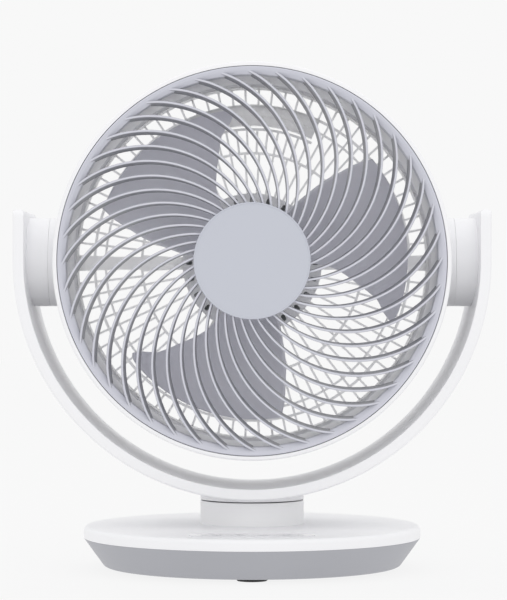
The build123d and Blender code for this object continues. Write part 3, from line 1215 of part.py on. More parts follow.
with BuildPart(HEAD) as bearings:
    with Locations((0, 0, CUP_FRONT - BELL - BEARING_WIDTH), (0, 0, CUP_BACK + CUP_WALL)):
        Cylinder(BEARING_RADIUS, BEARING_WIDTH, align=ON_TOP)
        Cylinder(SHAFT_RADIUS + PIVOT_FIT, BEARING_WIDTH, align=ON_TOP, mode=Mode.SUBTRACT)
save(bearings, "bearings")

# Stator core with its teeth, and a coil round each tooth
stator_radius = cup_inside - SEAT_GAP
tooth_outer = stator_radius - STATOR_YOKE
with BuildPart() as stator_core:
    with BuildSketch(HEAD.offset(STATOR_BACK)):
        with PolarLocations((STATOR_BORE + tooth_outer) / 2, STATOR_TEETH):
            Rectangle(tooth_outer - STATOR_BORE + 2, STATOR_TOOTH)
        add(ring(tooth_outer, stator_radius))
        Circle(STATOR_BORE, mode=Mode.SUBTRACT)
    extrude(amount=STATOR_FRONT - STATOR_BACK)
save(stator_core, "stator_core")

coil_reach = tooth_outer - STATOR_BORE - 3.5
coil_middle = STATOR_BORE + 3 + coil_reach / 2
with BuildPart() as stator_windings:
    with BuildSketch(HEAD.offset(STATOR_BACK - WINDING_HEIGHT)):
        with PolarLocations(coil_middle, STATOR_TEETH):
            Rectangle(coil_reach, 2 * STATOR_TOOTH)
    extrude(amount=STATOR_FRONT - STATOR_BACK + 2 * WINDING_HEIGHT)
    with BuildSketch(HEAD.offset(STATOR_BACK)):
        with PolarLocations(coil_middle, STATOR_TEETH):
            Rectangle(coil_reach, STATOR_TOOTH)
    extrude(amount=STATOR_FRONT - STATOR_BACK, mode=Mode.SUBTRACT)
save(stator_windings, "stator_windings")

# Rear cap over the motor, with vent slots
cap_corner = (hub_inner - REAR_CAP_WALL, REAR_CAP_BACK + REAR_CAP_WALL)
with BuildPart() as rear_cap:
    with BuildSketch(RADIAL) as cap_profile:
        with BuildLine():
            Polyline(
                (0, REAR_CAP_BACK),
                (REAR_HUB_RADIUS, REAR_CAP_BACK),
                (REAR_HUB_RADIUS, REAR_HUB_END),
                (hub_inner - SEAT_GAP, REAR_HUB_END),
                (hub_inner - SEAT_GAP, REAR_HUB_END + REAR_CAP_LIP),
                (hub_inner - REAR_CAP_WALL, REAR_HUB_END + REAR_CAP_LIP),
                cap_corner,
                (0, REAR_CAP_BACK + REAR_CAP_WALL),
                close=True,
            )
        make_face()
        fillet(cap_profile.vertices().sort_by_distance((REAR_HUB_RADIUS, REAR_CAP_BACK))[0], REAR_CAP_ROUND)
        fillet(cap_profile.vertices().sort_by_distance(cap_corner)[0], REAR_CAP_ROUND - REAR_CAP_WALL)
    revolve(axis=FAN_AXIS)
    with BuildSketch(HEAD.offset(REAR_CAP_BACK)):
        with PolarLocations(REAR_CAP_SLOT_RING, REAR_CAP_SLOTS):
            SlotOverall(*REAR_CAP_SLOT)
    extrude(amount=REAR_CAP_WALL, mode=Mode.SUBTRACT)
save(rear_cap, "rear_cap")

# ================================================================ rotor
with BuildPart(HEAD) as rotor_shaft:
    with Locations((0, 0, SHAFT_BACK)):
        Cylinder(SHAFT_RADIUS, SHAFT_FRONT - SHAFT_BACK, align=ON_TOP)
    chamfer(rotor_shaft.edges().filter_by(GeomType.CIRCLE), 0.4)
save(rotor_shaft, "rotor_shaft")

with BuildPart(HEAD) as rotor_core:
    with Locations((0, 0, STATOR_BACK + ROTOR_END_GAP)):
        Cylinder(ROTOR_RADIUS, STATOR_FRONT - STATOR_BACK - 2 * ROTOR_END_GAP, align=ON_TOP)
        Cylinder(SHAFT_RADIUS + 0.02, STATOR_FRONT - STATOR_BACK, align=ON_TOP, mode=Mode.SUBTRACT)
save(rotor_core, "rotor_core")

# One blade in its own frame, its middle along +X: a helical sheet cut to its outline
with BuildPart() as blade:
    for reach in BLADE_REACHES:
        with BuildSketch(Plane(origin=(reach, 0, 0), x_dir=(0, 1, 0), z_dir=(1, 0, 0))):
            front = blade_line(reach, 1)
            back = blade_line(reach, -1)
            with BuildLine():
                Spline(*front)
                Spline(*back)
                Line(front[0], back[0])
                Line(front[-1], back[-1])
            make_face()
    loft()
    lead = [on_circle(radius, angle) for radius, angle in BLADE_LEAD]
    trail = [on_circle(radius, angle) for radius, angle in BLADE_TRAIL]
    tip_end = on_circle(BLADE_TIP_RADIUS, BLADE_TRAIL_TIP)
    tip_middle = on_circle(BLADE_TIP_RADIUS, (BLADE_LEAD[-1][1] + BLADE_TRAIL_TIP) / 2)
    tip_heading = (sin(radians(BLADE_TRAIL_TIP)), -cos(radians(BLADE_TRAIL_TIP)))
    root_heading = (trail[-1][0] - trail[-2][0], trail[-1][1] - trail[-2][1])
    with BuildSketch():
        Circle(BLADE_TIP_RADIUS * 1.5)
        with BuildLine():
            Spline(*lead)
            ThreePointArc(lead[-1], tip_middle, tip_end)
            Spline(tip_end, *trail, tangents=(tip_heading, root_heading))
            Line(trail[-1], lead[0])
        make_face(mode=Mode.SUBTRACT)
        Circle(IMPELLER_HUB_RADIUS - BLADE_ROOT_SINK)
    extrude(amount=IMPELLER_HUB_FRONT * 2, both=True, mode=Mode.SUBTRACT)

# Impeller: the hub, its boss on the shaft and the blades
with BuildPart(HEAD) as impeller:
    with Locations((0, 0, IMPELLER_HUB_BACK)):
        Cylinder(IMPELLER_HUB_RADIUS, IMPELLER_HUB_FRONT - IMPELLER_HUB_BACK, align=ON_TOP)
        Cylinder(
            IMPELLER_HUB_RADIUS - IMPELLER_HUB_WALL,
            IMPELLER_HUB_FRONT - IMPELLER_HUB_WALL - IMPELLER_HUB_BACK,
            align=ON_TOP,
            mode=Mode.SUBTRACT,
        )
    fillet(impeller.edges().group_by(Axis.Y)[0], 1.5)
    with Locations((0, 0, IMPELLER_BOSS_BACK)):
        Cylinder(IMPELLER_BOSS_RADIUS, IMPELLER_HUB_FRONT - IMPELLER_BOSS_BACK, align=ON_TOP)
    with PolarLocations(0, BLADE_COUNT, start_angle=BLADE_START_ANGLE):
        add(blade.part)
    with Locations((0, 0, IMPELLER_HUB_BACK)):
        Cylinder(SHAFT_RADIUS + 0.02, YOKE_DEPTH, align=ON_TOP, mode=Mode.SUBTRACT)
save(impeller, "impeller")

with BuildPart() as impeller_nut:
    with BuildSketch(HEAD.offset(IMPELLER_HUB_FRONT)):
        RegularPolygon(IMPELLER_NUT_RADIUS, 6)
    extrude(amount=IMPELLER_NUT)
    with BuildSketch(HEAD.offset(IMPELLER_HUB_FRONT)):
        Circle(SHAFT_RADIUS + 0.02)
    extrude(amount=SHAFT_FRONT + SEAT_GAP - IMPELLER_HUB_FRONT, mode=Mode.SUBTRACT)
save(impeller_nut, "impeller_nut")
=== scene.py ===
# %% [markdown]
# # A table air circulator, dressed around its solids
# The fan is a round head with a swirling front grille. It tilts between the arms of a
# U-shaped yoke, and the yoke swivels on a round base with a touch panel. The measured
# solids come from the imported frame. This lesson gives each of them the finish of the real
# piece, and makes new surfaces where a moulded part is softer or finer than its solid.

# %% Tools
import json
import bmesh
import bpy
import numpy as np
from mathutils import Matrix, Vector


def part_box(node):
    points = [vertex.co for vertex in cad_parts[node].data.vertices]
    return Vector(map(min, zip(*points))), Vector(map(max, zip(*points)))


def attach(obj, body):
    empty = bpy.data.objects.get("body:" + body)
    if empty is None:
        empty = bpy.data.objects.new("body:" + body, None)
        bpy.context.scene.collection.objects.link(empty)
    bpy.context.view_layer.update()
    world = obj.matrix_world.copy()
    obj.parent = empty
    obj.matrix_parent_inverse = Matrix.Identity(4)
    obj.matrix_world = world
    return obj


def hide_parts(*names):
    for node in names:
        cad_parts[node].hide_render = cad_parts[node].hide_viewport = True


print("Blender", bpy.app.version_string)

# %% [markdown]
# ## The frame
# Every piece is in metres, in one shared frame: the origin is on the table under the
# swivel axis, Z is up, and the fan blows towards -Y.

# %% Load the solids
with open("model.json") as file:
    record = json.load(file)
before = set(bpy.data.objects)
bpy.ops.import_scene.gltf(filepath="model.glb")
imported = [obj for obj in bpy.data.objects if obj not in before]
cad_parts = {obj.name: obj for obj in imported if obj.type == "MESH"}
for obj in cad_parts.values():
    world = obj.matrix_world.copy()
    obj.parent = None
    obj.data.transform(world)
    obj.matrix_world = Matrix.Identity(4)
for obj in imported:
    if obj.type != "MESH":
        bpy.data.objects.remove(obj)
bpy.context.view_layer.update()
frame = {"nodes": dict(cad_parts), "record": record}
nodes = frame["nodes"]

# %% [markdown]
# ## Colour and nodes
# Finishes are written as sRGB hex, as a colour picker shows them. Shaders work in
# linear light, so one function turns hex to linear. A material could be wired by hand in
# the shader editor. One function that adds a node with its settings and its links keeps
# each finish to a few lines instead, and makes it easy to compare two of them.

# %% Colour and one node at a time
def linear(colour):
    """sRGB hex to linear RGBA: c / 12.92 below 0.04045, else ((c + 0.055) / 1.055) ** 2.4."""
    values = [int(colour[i:i + 2], 16) / 255 for i in (1, 3, 5)]
    return [c / 12.92 if c <= 0.04045 else ((c + 0.055) / 1.055) ** 2.4 for c in values] + [1.0]


def add_node(tree, kind, inputs=(), **settings):
    """A node of a kind, with its settings, and its inputs set to values or linked to sockets."""
    node = tree.nodes.new(kind)
    for name, value in settings.items():
        setattr(node, name, value)
    for name, value in dict(inputs).items():
        if isinstance(value, bpy.types.NodeSocket):
            tree.links.new(value, node.inputs[name])
        else:
            node.inputs[name].default_value = value
    return node


def new_finish(name):
    """An empty material; returns it and its node tree."""
    material = bpy.data.materials.new(name)
    material.use_nodes = True
    material.node_tree.nodes.clear()
    return material, material.node_tree


print("mid grey #808080 is linear", round(linear("#808080")[0], 3))

# %% [markdown]
# ## Moulded plastic
# Nearly everything that shows is injection-moulded ABS or polypropylene. The mould is
# spark-eroded to a grain of about 0.3 mm, which breaks the highlight up and makes the
# skin satin. A second, much broader noise stands for the slight sink and flow of a
# moulding, and shifts the colour by a percent or so. A photographed texture could do the
# same, but noise on Object coordinates needs no unwrapping and keeps its real size on
# every piece. The IOR of ABS is 1.54 and that of polypropylene 1.49.

# %% Moulded plastic
NOISE = (0.3, 0.7)           # most values of a noise texture lie between these
FLOW_MM = 1000 / 18          # breadth of the sink and flow marks, about 56 mm
SHEEN_SPREAD = 0.04          # roughness differs this much between grain tops and hollows
BLEED = 0.9                  # share of light that spreads inside a thin pale wall


def moulded_plastic(name, colour, roughness, ior, grain_mm, height_mm, drift, painted_flank_shade=1.0, bleed_mm=0.0):
    """Plastic with spark-eroded grain: fine noise as bump and sheen, broad noise as colour drift.
    Faces that look sideways from the fan axis, -Y, may carry painted shade, a colour darker by a
    given factor, and a thin pale wall may let light bleed through it by some millimetres."""
    material, tree = new_finish(name)
    place = add_node(tree, "ShaderNodeTexCoord")
    grain = add_node(tree, "ShaderNodeTexNoise", {
        "Vector": place.outputs["Object"], "Scale": 1000 / grain_mm, "Detail": 2.0, "Roughness": 0.55})
    flow = add_node(tree, "ShaderNodeTexNoise", {
        "Vector": place.outputs["Object"], "Scale": 1000 / FLOW_MM, "Detail": 3.0, "Roughness": 0.5})
    tint = add_node(tree, "ShaderNodeValToRGB", {"Fac": flow.outputs["Fac"]})
    for stop, position, shade in zip(tint.color_ramp.elements, NOISE, (1 - drift, 1 + drift)):
        stop.position = position
        stop.color = [min(1, c * shade) for c in linear(colour)[:3]] + [1]
    tone = tint.outputs["Color"]
    # Painted shade: faces that look sideways from the fan axis are darkened in colour.
    if painted_flank_shade < 1:
        axes = add_node(tree, "ShaderNodeSeparateXYZ", {"Vector": place.outputs["Normal"]})
        painted_shade_factor = add_node(tree, "ShaderNodeMapRange", {
            "Value": axes.outputs["Y"], "From Min": -0.9, "From Max": -0.2, "To Min": 1.0, "To Max": painted_flank_shade})
        tone = add_node(tree, "ShaderNodeVectorMath", {
            0: tone, "Scale": painted_shade_factor.outputs["Result"]}, operation="SCALE").outputs["Vector"]
    sheen = add_node(tree, "ShaderNodeMapRange", {
        "Value": grain.outputs["Fac"], "From Min": NOISE[0], "From Max": NOISE[1],
        "To Min": roughness - SHEEN_SPREAD, "To Max": roughness + SHEEN_SPREAD})
    bump = add_node(tree, "ShaderNodeBump", {
        "Height": grain.outputs["Fac"], "Strength": 0.25, "Distance": height_mm / 1000})
    shader = add_node(tree, "ShaderNodeBsdfPrincipled", {
        "Base Color": tone, "Roughness": sheen.outputs["Result"], "IOR": ior,
        "Normal": bump.outputs["Normal"]})
    if bleed_mm:
        shader.inputs["Subsurface Weight"].default_value = BLEED
        shader.inputs["Subsurface Radius"].default_value = (1, 1, 1)
        shader.inputs["Subsurface Scale"].default_value = bleed_mm / 1000
    add_node(tree, "ShaderNodeOutputMaterial", {"Surface": shader.outputs[0]})
    return material


# Satin white ABS of shell, yoke and cover: a near-white with a soft, broad highlight.
white_abs = moulded_plastic("white_satin_abs", "#f1f1f3", 0.42, 1.54, 0.35, 0.03, 0.008)
# Thin white polypropylene of rear grille and grip: the light behind them bleeds through.
thin_pp = moulded_plastic("thin_white_polypropylene", "#f6f6f7", 0.42, 1.49, 0.35, 0.02, 0.008, bleed_mm=5.0)
# White ABS of the neck: the same grain, a trace duller, with painted light: its colour is paler than the
# shell's to make up for the shade under the yoke.
neck_abs_painted_light = moulded_plastic("neck_satin_abs_painted_light", "#f5f5f6", 0.45, 1.54, 0.35, 0.03, 0.008)
# Light grey ABS of the pan: a calm grey that anchors the white fan to the table.
pan_abs = moulded_plastic("light_grey_satin_abs", "#a9aab0", 0.46, 1.54, 0.35, 0.03, 0.012)
# Lilac-grey polypropylene of the grille's rim: softer and a little glossier than ABS.
grille_pp = moulded_plastic("lilac_grey_polypropylene", "#cacbd5", 0.40, 1.49, 0.30, 0.02, 0.010)
# The same on the ribs, with painted shade: their flanks are darker in colour, as the shade between real ribs
# is.
rib_pp_painted_shade = moulded_plastic("lilac_grey_polypropylene_rib_painted_shade", "#cccdd6", 0.40, 1.49, 0.30, 0.02, 0.010, painted_flank_shade=0.5)
# Lilac-grey ABS of the hub disc: the calmest surface, with hardly any drift.
disc_abs = moulded_plastic("lilac_grey_satin_abs", "#c0c3cd", 0.44, 1.54, 0.30, 0.02, 0.006)
# Light grey polypropylene of the duct, with painted light: its colour is paler than the real plastic to make
# up for the shade inside, which greys it again.
duct_pp_painted_light = moulded_plastic("light_grey_polypropylene_painted_light", "#f4f4f6", 0.48, 1.49, 0.30, 0.02, 0.012)
# Cool grey polypropylene of the blades, with painted light: paler than the grille's plastic to make up for
# the shade of the duct, where they still read darker.
blade_pp_painted_light = moulded_plastic("cool_grey_polypropylene_painted_light", "#e0e0e9", 0.38, 1.49, 0.30, 0.02, 0.012)
print("materials in the file:", len(bpy.data.materials))

# %% [markdown]
# ## Small mouldings, rubber, lens and ink
# The smaller pieces are plastic and rubber of other kinds. They could share one dark
# material, but the model may be taken apart, and each has a look of its own: acetal is
# waxy, filled nylon is dull, rubber is nearly matt, and the acrylic lens is polished.

# %% Small mouldings, rubber, lens and ink
# Cool grey ABS of the impeller nut: a dull satin.
nut_abs = moulded_plastic("cool_grey_abs", "#8f9097", 0.45, 1.54, 0.30, 0.02, 0.012)
# Acetal of bushes and gears, grey and natural: waxy, with a tighter highlight.
acetal_grey = moulded_plastic("grey_acetal", "#93959a", 0.35, 1.48, 0.25, 0.01, 0.010)
acetal_natural = moulded_plastic("natural_acetal", "#d8d7cf", 0.35, 1.48, 0.25, 0.01, 0.010)
# Glass-filled nylon of the spindle: dull, and mottled by the fibres at its skin.
glass_nylon = moulded_plastic("glass_filled_nylon", "#6b6d71", 0.55, 1.53, 0.40, 0.05, 0.030)
# Black moulding compound of the board's parts and the inlet: dark, with a faint grain.
black_moulding = moulded_plastic("black_moulding_compound", "#1f2022", 0.50, 1.55, 0.30, 0.03, 0.020)
# Nitrile rubber of the feet: the darkest and dullest thing in view.
foot_rubber = moulded_plastic("black_nitrile_rubber", "#1b1b1c", 0.70, 1.52, 0.60, 0.08, 0.040)
# Carbon-filled silicone of the sensor pads: dark grey and dull.
pad_rubber = moulded_plastic("carbon_filled_silicone", "#3a3a3c", 0.65, 1.45, 0.50, 0.05, 0.030)
# Acrylic lens with a grey back coat: polished, so it mirrors the studio a little.
panel_pmma = moulded_plastic("grey_backed_acrylic_lens", "#e1e1e5", 0.16, 1.49, 0.80, 0.004, 0.004)
# Screen-printed ink of the key symbols: a flat mid grey.
key_ink = moulded_plastic("screen_printed_grey_ink", "#8b8d94", 0.50, 1.50, 0.20, 0.004, 0.010)
print("materials in the file:", len(bpy.data.materials))

# %% [markdown]
# ## Metal
# The hidden hardware is zinc-plated screws, ground shafts, pressed and stacked sheet,
# turned aluminium, sheared iron and enamelled copper wire. A metal's colour is its
# reflection, so it is fully metallic with the default IOR. Turning, rolling and stacking
# leave fine parallel marks. A stretched noise gives them without an image, and marks that
# are too fine to show are drawn coarser.

# %% Metal
MARK_SPREAD = 0.08           # roughness differs this much between the marks and the plain skin


def worked_metal(name, colour, roughness, stretch, scale_mm, height_mm):
    """Metal whose noise has grains scale_mm / stretch long along each axis, as its marks run."""
    material, tree = new_finish(name)
    place = add_node(tree, "ShaderNodeTexCoord")
    turn = add_node(tree, "ShaderNodeMapping", {
        "Vector": place.outputs["Object"], "Scale": [1000 / scale_mm * s for s in stretch]})
    marks = add_node(tree, "ShaderNodeTexNoise", {
        "Vector": turn.outputs["Vector"], "Scale": 1.0, "Detail": 3.0})
    rough = add_node(tree, "ShaderNodeMapRange", {
        "Value": marks.outputs["Fac"], "From Min": NOISE[0], "From Max": NOISE[1],
        "To Min": roughness - MARK_SPREAD, "To Max": roughness + MARK_SPREAD})
    bump = add_node(tree, "ShaderNodeBump", {
        "Height": marks.outputs["Fac"], "Strength": 0.3, "Distance": height_mm / 1000})
    shader = add_node(tree, "ShaderNodeBsdfPrincipled", {
        "Base Color": linear(colour), "Metallic": 1.0, "Roughness": rough.outputs["Result"],
        "Normal": bump.outputs["Normal"]})
    add_node(tree, "ShaderNodeOutputMaterial", {"Surface": shader.outputs[0]})
    return material


# Zinc plating on the screws: bright, and faintly cloudy over less than a millimetre.
zinc_steel = worked_metal("zinc_plated_steel", "#c3c4c8", 0.32, (1, 1, 1), 0.8, 0.01)
# Ground shafts: the sharpest reflection. Rings 0.08 mm apart are coarser than real ones.
ground_steel = worked_metal("ground_steel", "#c9cacc", 0.22, (1, 12, 1), 1.0, 0.004)
# Zinc-coated sheet of the motor can: a satin grey with spangles of a few millimetres.
sheet_steel = worked_metal("zinc_coated_sheet_steel", "#b7babd", 0.38, (1, 1, 1), 2.5, 0.01)
# Electrical steel, sheets 0.5 mm thick stacked along the fan axis: fine dark stripes.
stacked_steel = worked_metal("stacked_electrical_steel", "#7d8085", 0.45, (0.2, 14, 0.2), 7.0, 0.05)
# Aluminium pins turned along the tilt axis with a feed of 0.15 mm: pale, finely ringed.
turned_aluminium = worked_metal("turned_aluminium", "#cfd1d3", 0.30, (10, 1, 1), 1.5, 0.006)
# Sheared iron of the ballast plate: dark and rough, with mill scale in patches.
sheared_iron = worked_metal("sheared_iron_plate", "#55565a", 0.60, (1, 1, 1), 1.5, 0.05)
# Enamelled copper: wire of about 0.3 mm is drawn 0.5 mm thick, so that its turns show.
copper_wire = worked_metal("enamelled_copper_wire", "#b8693a", 0.30, (1, 1, 9), 4.5, 0.15)
print("materials in the file:", len(bpy.data.materials))

# %% [markdown]
# ## Circuit board
# A board is glass cloth in epoxy under a green solder mask, and its weave shows as a
# faint change of tone. A checker texture would look too regular. The cloth's real pitch of
# about 0.5 mm is too fine to show here, so a cell pattern of 2.5 mm stands for it.

# %% Green laminate
WEAVE_MM = 2.5
laminate, tree = new_finish("green_solder_mask_laminate")
place = add_node(tree, "ShaderNodeTexCoord")
weave = add_node(tree, "ShaderNodeTexVoronoi", {
    "Vector": place.outputs["Object"], "Scale": 1000 / WEAVE_MM})
tint = add_node(tree, "ShaderNodeMapRange", {
    "Value": weave.outputs["Distance"], "To Min": 0.9, "To Max": 1.1})
green = add_node(tree, "ShaderNodeHueSaturation", {
    "Color": linear("#1f5a3a"), "Value": tint.outputs["Result"]})
board = add_node(tree, "ShaderNodeBsdfPrincipled", {
    "Base Color": green.outputs["Color"], "Roughness": 0.3, "IOR": 1.52})
add_node(tree, "ShaderNodeOutputMaterial", {"Surface": board.outputs[0]})
print("materials in the file:", len(bpy.data.materials))

# %% [markdown]
# ## Dressing the solids
# Each solid already carries a slot name from the record. The finishes could be given one
# by one, but a table from slot to finish dresses all of them and leaves none plain.

# %% Dress every solid
FINISH = {
    "shell_white": white_abs, "neck_white": neck_abs_painted_light, "base_grey": pan_abs, "grille_grey": grille_pp,
    "cap_grey": disc_abs, "duct_grey": duct_pp_painted_light, "blade_grey": blade_pp_painted_light, "nut_grey": nut_abs,
    "panel_grey": panel_pmma, "bush_acetal": acetal_grey, "gear_acetal": acetal_natural,
    "spindle_plastic": glass_nylon, "component_black": black_moulding, "board_green": laminate,
    "foot_rubber": foot_rubber, "pad_rubber": pad_rubber, "ballast_iron": sheared_iron,
    "screw_steel": zinc_steel, "shaft_steel": ground_steel, "motor_steel": sheet_steel,
    "lamination_steel": stacked_steel, "pin_aluminium": turned_aluminium, "winding_copper": copper_wire,
}
slot_of = {part["node"]: part["material_slot"] for part in frame["record"]["subparts"]}
for name, thing in nodes.items():
    thing.data.materials.clear()
    thing.data.materials.append(FINISH[slot_of[name]])
print("dressed:", len(nodes))

# %% [markdown]
# ## Camera
# The photograph is a product shot from far away with a long lens, level with the middle
# of the fan. The rear circle of the head looks only a few percent smaller than the front
# one, which puts the camera 1.8 m in front of the swivel axis and 179 mm up, and the
# picture's middle lies 0.9 mm to the right of that axis. At that distance a 162 mm lens on
# a 36 mm sensor frames the fan as the photograph does.

# %% Camera
eye = bpy.data.objects.new("camera", bpy.data.cameras.new("camera"))
bpy.context.scene.collection.objects.link(eye)
eye.location = (0.0009, -1.8, 0.1788)
eye.rotation_euler = (np.pi / 2, 0, 0)
eye.data.lens = 162
eye.data.sensor_width = 36
eye.data.clip_start = 0.1
bpy.context.scene.camera = eye
print("field of view:", round(np.degrees(eye.data.angle), 1), "degrees")

# %% [markdown]
# ## Studio light
# The studio is a white box: light comes from all round, a little more from above and
# from behind, and nothing throws a hard shadow. Many lamps could imitate that. The world
# alone gives it evenly, and two big soft panels, in front and above, add a little form.
# To the camera, to reflections and through clear things, the world is the photograph's
# own pale background, so it can be pale without more light on the fan.

# %% World
FILL = (0.83, 1.06)          # strength of the world's light, level and straight up or down
BACKDROP = 0.22              # added to it towards +Y, behind the fan


def looked_at(tree):
    """1 for what the camera sees directly, in a reflection or through something clear, else 0."""
    ray = add_node(tree, "ShaderNodeLightPath")
    mirrored = add_node(tree, "ShaderNodeMath", {
        0: ray.outputs["Is Camera Ray"], 1: ray.outputs["Is Glossy Ray"]}, operation="MAXIMUM")
    return add_node(tree, "ShaderNodeMath", {
        0: mirrored.outputs[0], 1: ray.outputs["Is Transmission Ray"]}, operation="MAXIMUM")


bpy.context.scene.view_settings.view_transform = "Standard"
world = bpy.data.worlds.new("studio")
bpy.context.scene.world = world
world.use_nodes = True
sky = world.node_tree
sky.nodes.clear()
place = add_node(sky, "ShaderNodeTexCoord")
axes = add_node(sky, "ShaderNodeSeparateXYZ", {"Vector": place.outputs["Generated"]})
height = add_node(sky, "ShaderNodeMath", {0: axes.outputs["Z"]}, operation="ABSOLUTE")
level = add_node(sky, "ShaderNodeMapRange", {
    "Value": height.outputs[0], "To Min": FILL[0], "To Max": FILL[1]})
behind = add_node(sky, "ShaderNodeMapRange", {
    "Value": axes.outputs["Y"], "To Min": 0.0, "To Max": BACKDROP})
level = add_node(sky, "ShaderNodeMath", {
    0: level.outputs["Result"], 1: behind.outputs["Result"]}, operation="ADD")
fill = add_node(sky, "ShaderNodeBackground", {"Color": linear("#ffffff"), "Strength": level.outputs[0]})
card = add_node(sky, "ShaderNodeBackground", {"Color": linear("#f8f8f8"), "Strength": 1.0})
seen = add_node(sky, "ShaderNodeMixShader", {
    0: looked_at(sky).outputs[0], 1: fill.outputs[0], 2: card.outputs[0]})
add_node(sky, "ShaderNodeOutputWorld", {"Surface": seen.outputs[0]})
print("world:", len(sky.nodes), "nodes")

# %% Soft panels
def softbox(name, place, target, size, power):
    """A square area lamp at a place. Its Z axis points from the target to the lamp, its X axis
    is level, and its Y axis is their cross product."""
    lamp = bpy.data.lights.new(name, "AREA")
    lamp.shape = "SQUARE"
    lamp.size = size
    lamp.energy = power
    thing = bpy.data.objects.new(name, lamp)
    bpy.context.scene.collection.objects.link(thing)
    z = np.array(place, float) - np.array(target, float)
    z /= np.linalg.norm(z)
    x = np.cross((0.0, 0.0, 1.0), z)
    x /= np.linalg.norm(x)
    y = np.cross(z, x)
    thing.matrix_world = Matrix([[x[i], y[i], z[i], place[i]] for i in range(3)] + [[0, 0, 0, 1]])
    print(name, power, "W")


softbox("front_panel", (0.0, -4.0, 0.9), (0, 0, 0.18), 1.6, 10)
softbox("top_panel", (0.0, -0.5, 1.6), (0, 0, 0.2), 1.4, 2)

# %% [markdown]
# ## Floor
# The fan stands on a sweep of white paper. A plain white floor would end in a visible
# edge. This one is mostly its own pale light and for a tenth plain matt paper, so that it
# melts into the background and still takes the soft shadow of the base.

# %% Floor
PAPER_GLOW = 0.8             # share of its own light in what it throws up at the fan
PAPER_SEEN = 0.9             # the same share in what the camera sees
floor_mesh = bpy.data.meshes.new("floor")
floor_mesh.from_pydata([(-6, -6, 0), (6, -6, 0), (6, 6, 0), (-6, 6, 0)], [], [(0, 1, 2, 3)])
floor = bpy.data.objects.new("floor", floor_mesh)
bpy.context.scene.collection.objects.link(floor)
paper, tree = new_finish("white_backdrop_paper")
matt = add_node(tree, "ShaderNodeBsdfDiffuse", {"Color": linear("#f4f4f4")})
lit = add_node(tree, "ShaderNodeEmission", {"Color": linear("#f8f8f8"), "Strength": 1.0})
share = add_node(tree, "ShaderNodeMapRange", {
    "Value": looked_at(tree).outputs[0], "To Min": PAPER_GLOW, "To Max": PAPER_SEEN})
both = add_node(tree, "ShaderNodeMixShader", {0: share.outputs[0], 1: matt.outputs[0], 2: lit.outputs[0]})
add_node(tree, "ShaderNodeOutputMaterial", {"Surface": both.outputs[0]})
floor_mesh.materials.append(paper)
print("floor staged")

# %% [markdown]
# ## Surfaces from arrays
# A moulded part is a surface of two parameters. One of them runs along an outline, and
# the other carries that outline round an axis or along a path. It could be modelled by
# hand from a cylinder and bevelled. Worked out as whole arrays of points, it keeps every
# radius exact, and a change of one number moves the whole part. From here on lengths
# are in millimetres, and an outline is a table of corners: radius, height, rounding.

# %% Outlines with round corners
WIDE_STEPS, NARROW_STEPS = 264, 144       # steps round the head and base, and round small rings


def rounded(corners, steps=5):
    """A closed outline from rows of (x, y, R). An arc of radius R in a corner of angle a touches
    both edges at R / tan(a / 2) from the corner, and turns evenly from one to the other."""
    points, radii = np.array(corners, float)[:, :2], np.array(corners, float)[:, 2]
    runs = []
    for here, before, after, radius in zip(points, np.roll(points, 1, 0), np.roll(points, -1, 0), radii):
        if radius == 0:
            runs.append(here[None])
            continue
        back = (before - here) / np.linalg.norm(before - here)
        on = (after - here) / np.linalg.norm(after - here)
        half = np.arccos(np.clip(back @ on, -1, 1)) / 2
        middle = here + (back + on) / np.linalg.norm(back + on) * radius / np.sin(half)
        start = here + back * radius / np.tan(half) - middle
        end = here + on * radius / np.tan(half) - middle
        total = np.pi - 2 * half
        turn = np.linspace(0, total, steps + 1)[:, None]
        runs.append(middle + (np.sin(total - turn) * start + np.sin(turn) * end) / np.sin(total))
    return np.concatenate(runs)


def turned(outline, steps, from_deg=0.0, sweep_deg=360.0):
    """A closed outline of (radius r, height h) round an axis: (r cos a, r sin a, h)."""
    outline = np.vstack([outline, outline[:1]])
    angle = np.radians(from_deg + np.linspace(0, sweep_deg, steps + 1))
    radius, height = outline[:, :1], outline[:, 1:]
    return np.stack([radius * np.cos(angle), radius * np.sin(angle), height + 0 * angle], axis=-1)


bar = rounded([(1, 0, 0.2), (2, 0, 0.2), (2, 1, 0.2), (1, 1, 0.2)])
print("a square with round corners has", len(bar), "points")

# %% From grids of points to a piece
def grid_faces(rows, columns):
    """Four-cornered faces of a grid of points that are numbered row by row."""
    corner = (np.arange(rows - 1)[:, None] * columns + np.arange(columns - 1)).ravel()
    return np.stack([corner, corner + 1, corner + columns + 1, corner + columns], axis=1)


def weld(mesh):
    """Welds the seams and poles of a mesh and turns its faces outwards."""
    shape = bmesh.new()
    shape.from_mesh(mesh)
    bmesh.ops.remove_doubles(shape, verts=shape.verts, dist=2e-6)
    bmesh.ops.dissolve_degenerate(shape, edges=shape.edges, dist=1e-6)
    bmesh.ops.recalc_face_normals(shape, faces=shape.faces)
    shape.to_mesh(mesh)
    shape.free()


def mesh_of(name, grids):
    """A welded mesh from grids of millimetre points already laid in the shared frame."""
    starts = np.cumsum([0] + [grid.shape[0] * grid.shape[1] for grid in grids])
    points = np.concatenate([grid.reshape(-1, 3) for grid in grids]) / 1000
    faces = np.concatenate([grid_faces(*grid.shape[:2]) + start for grid, start in zip(grids, starts)])
    mesh = bpy.data.meshes.new(name)
    mesh.from_pydata(points, [], faces.tolist())
    weld(mesh)
    return mesh


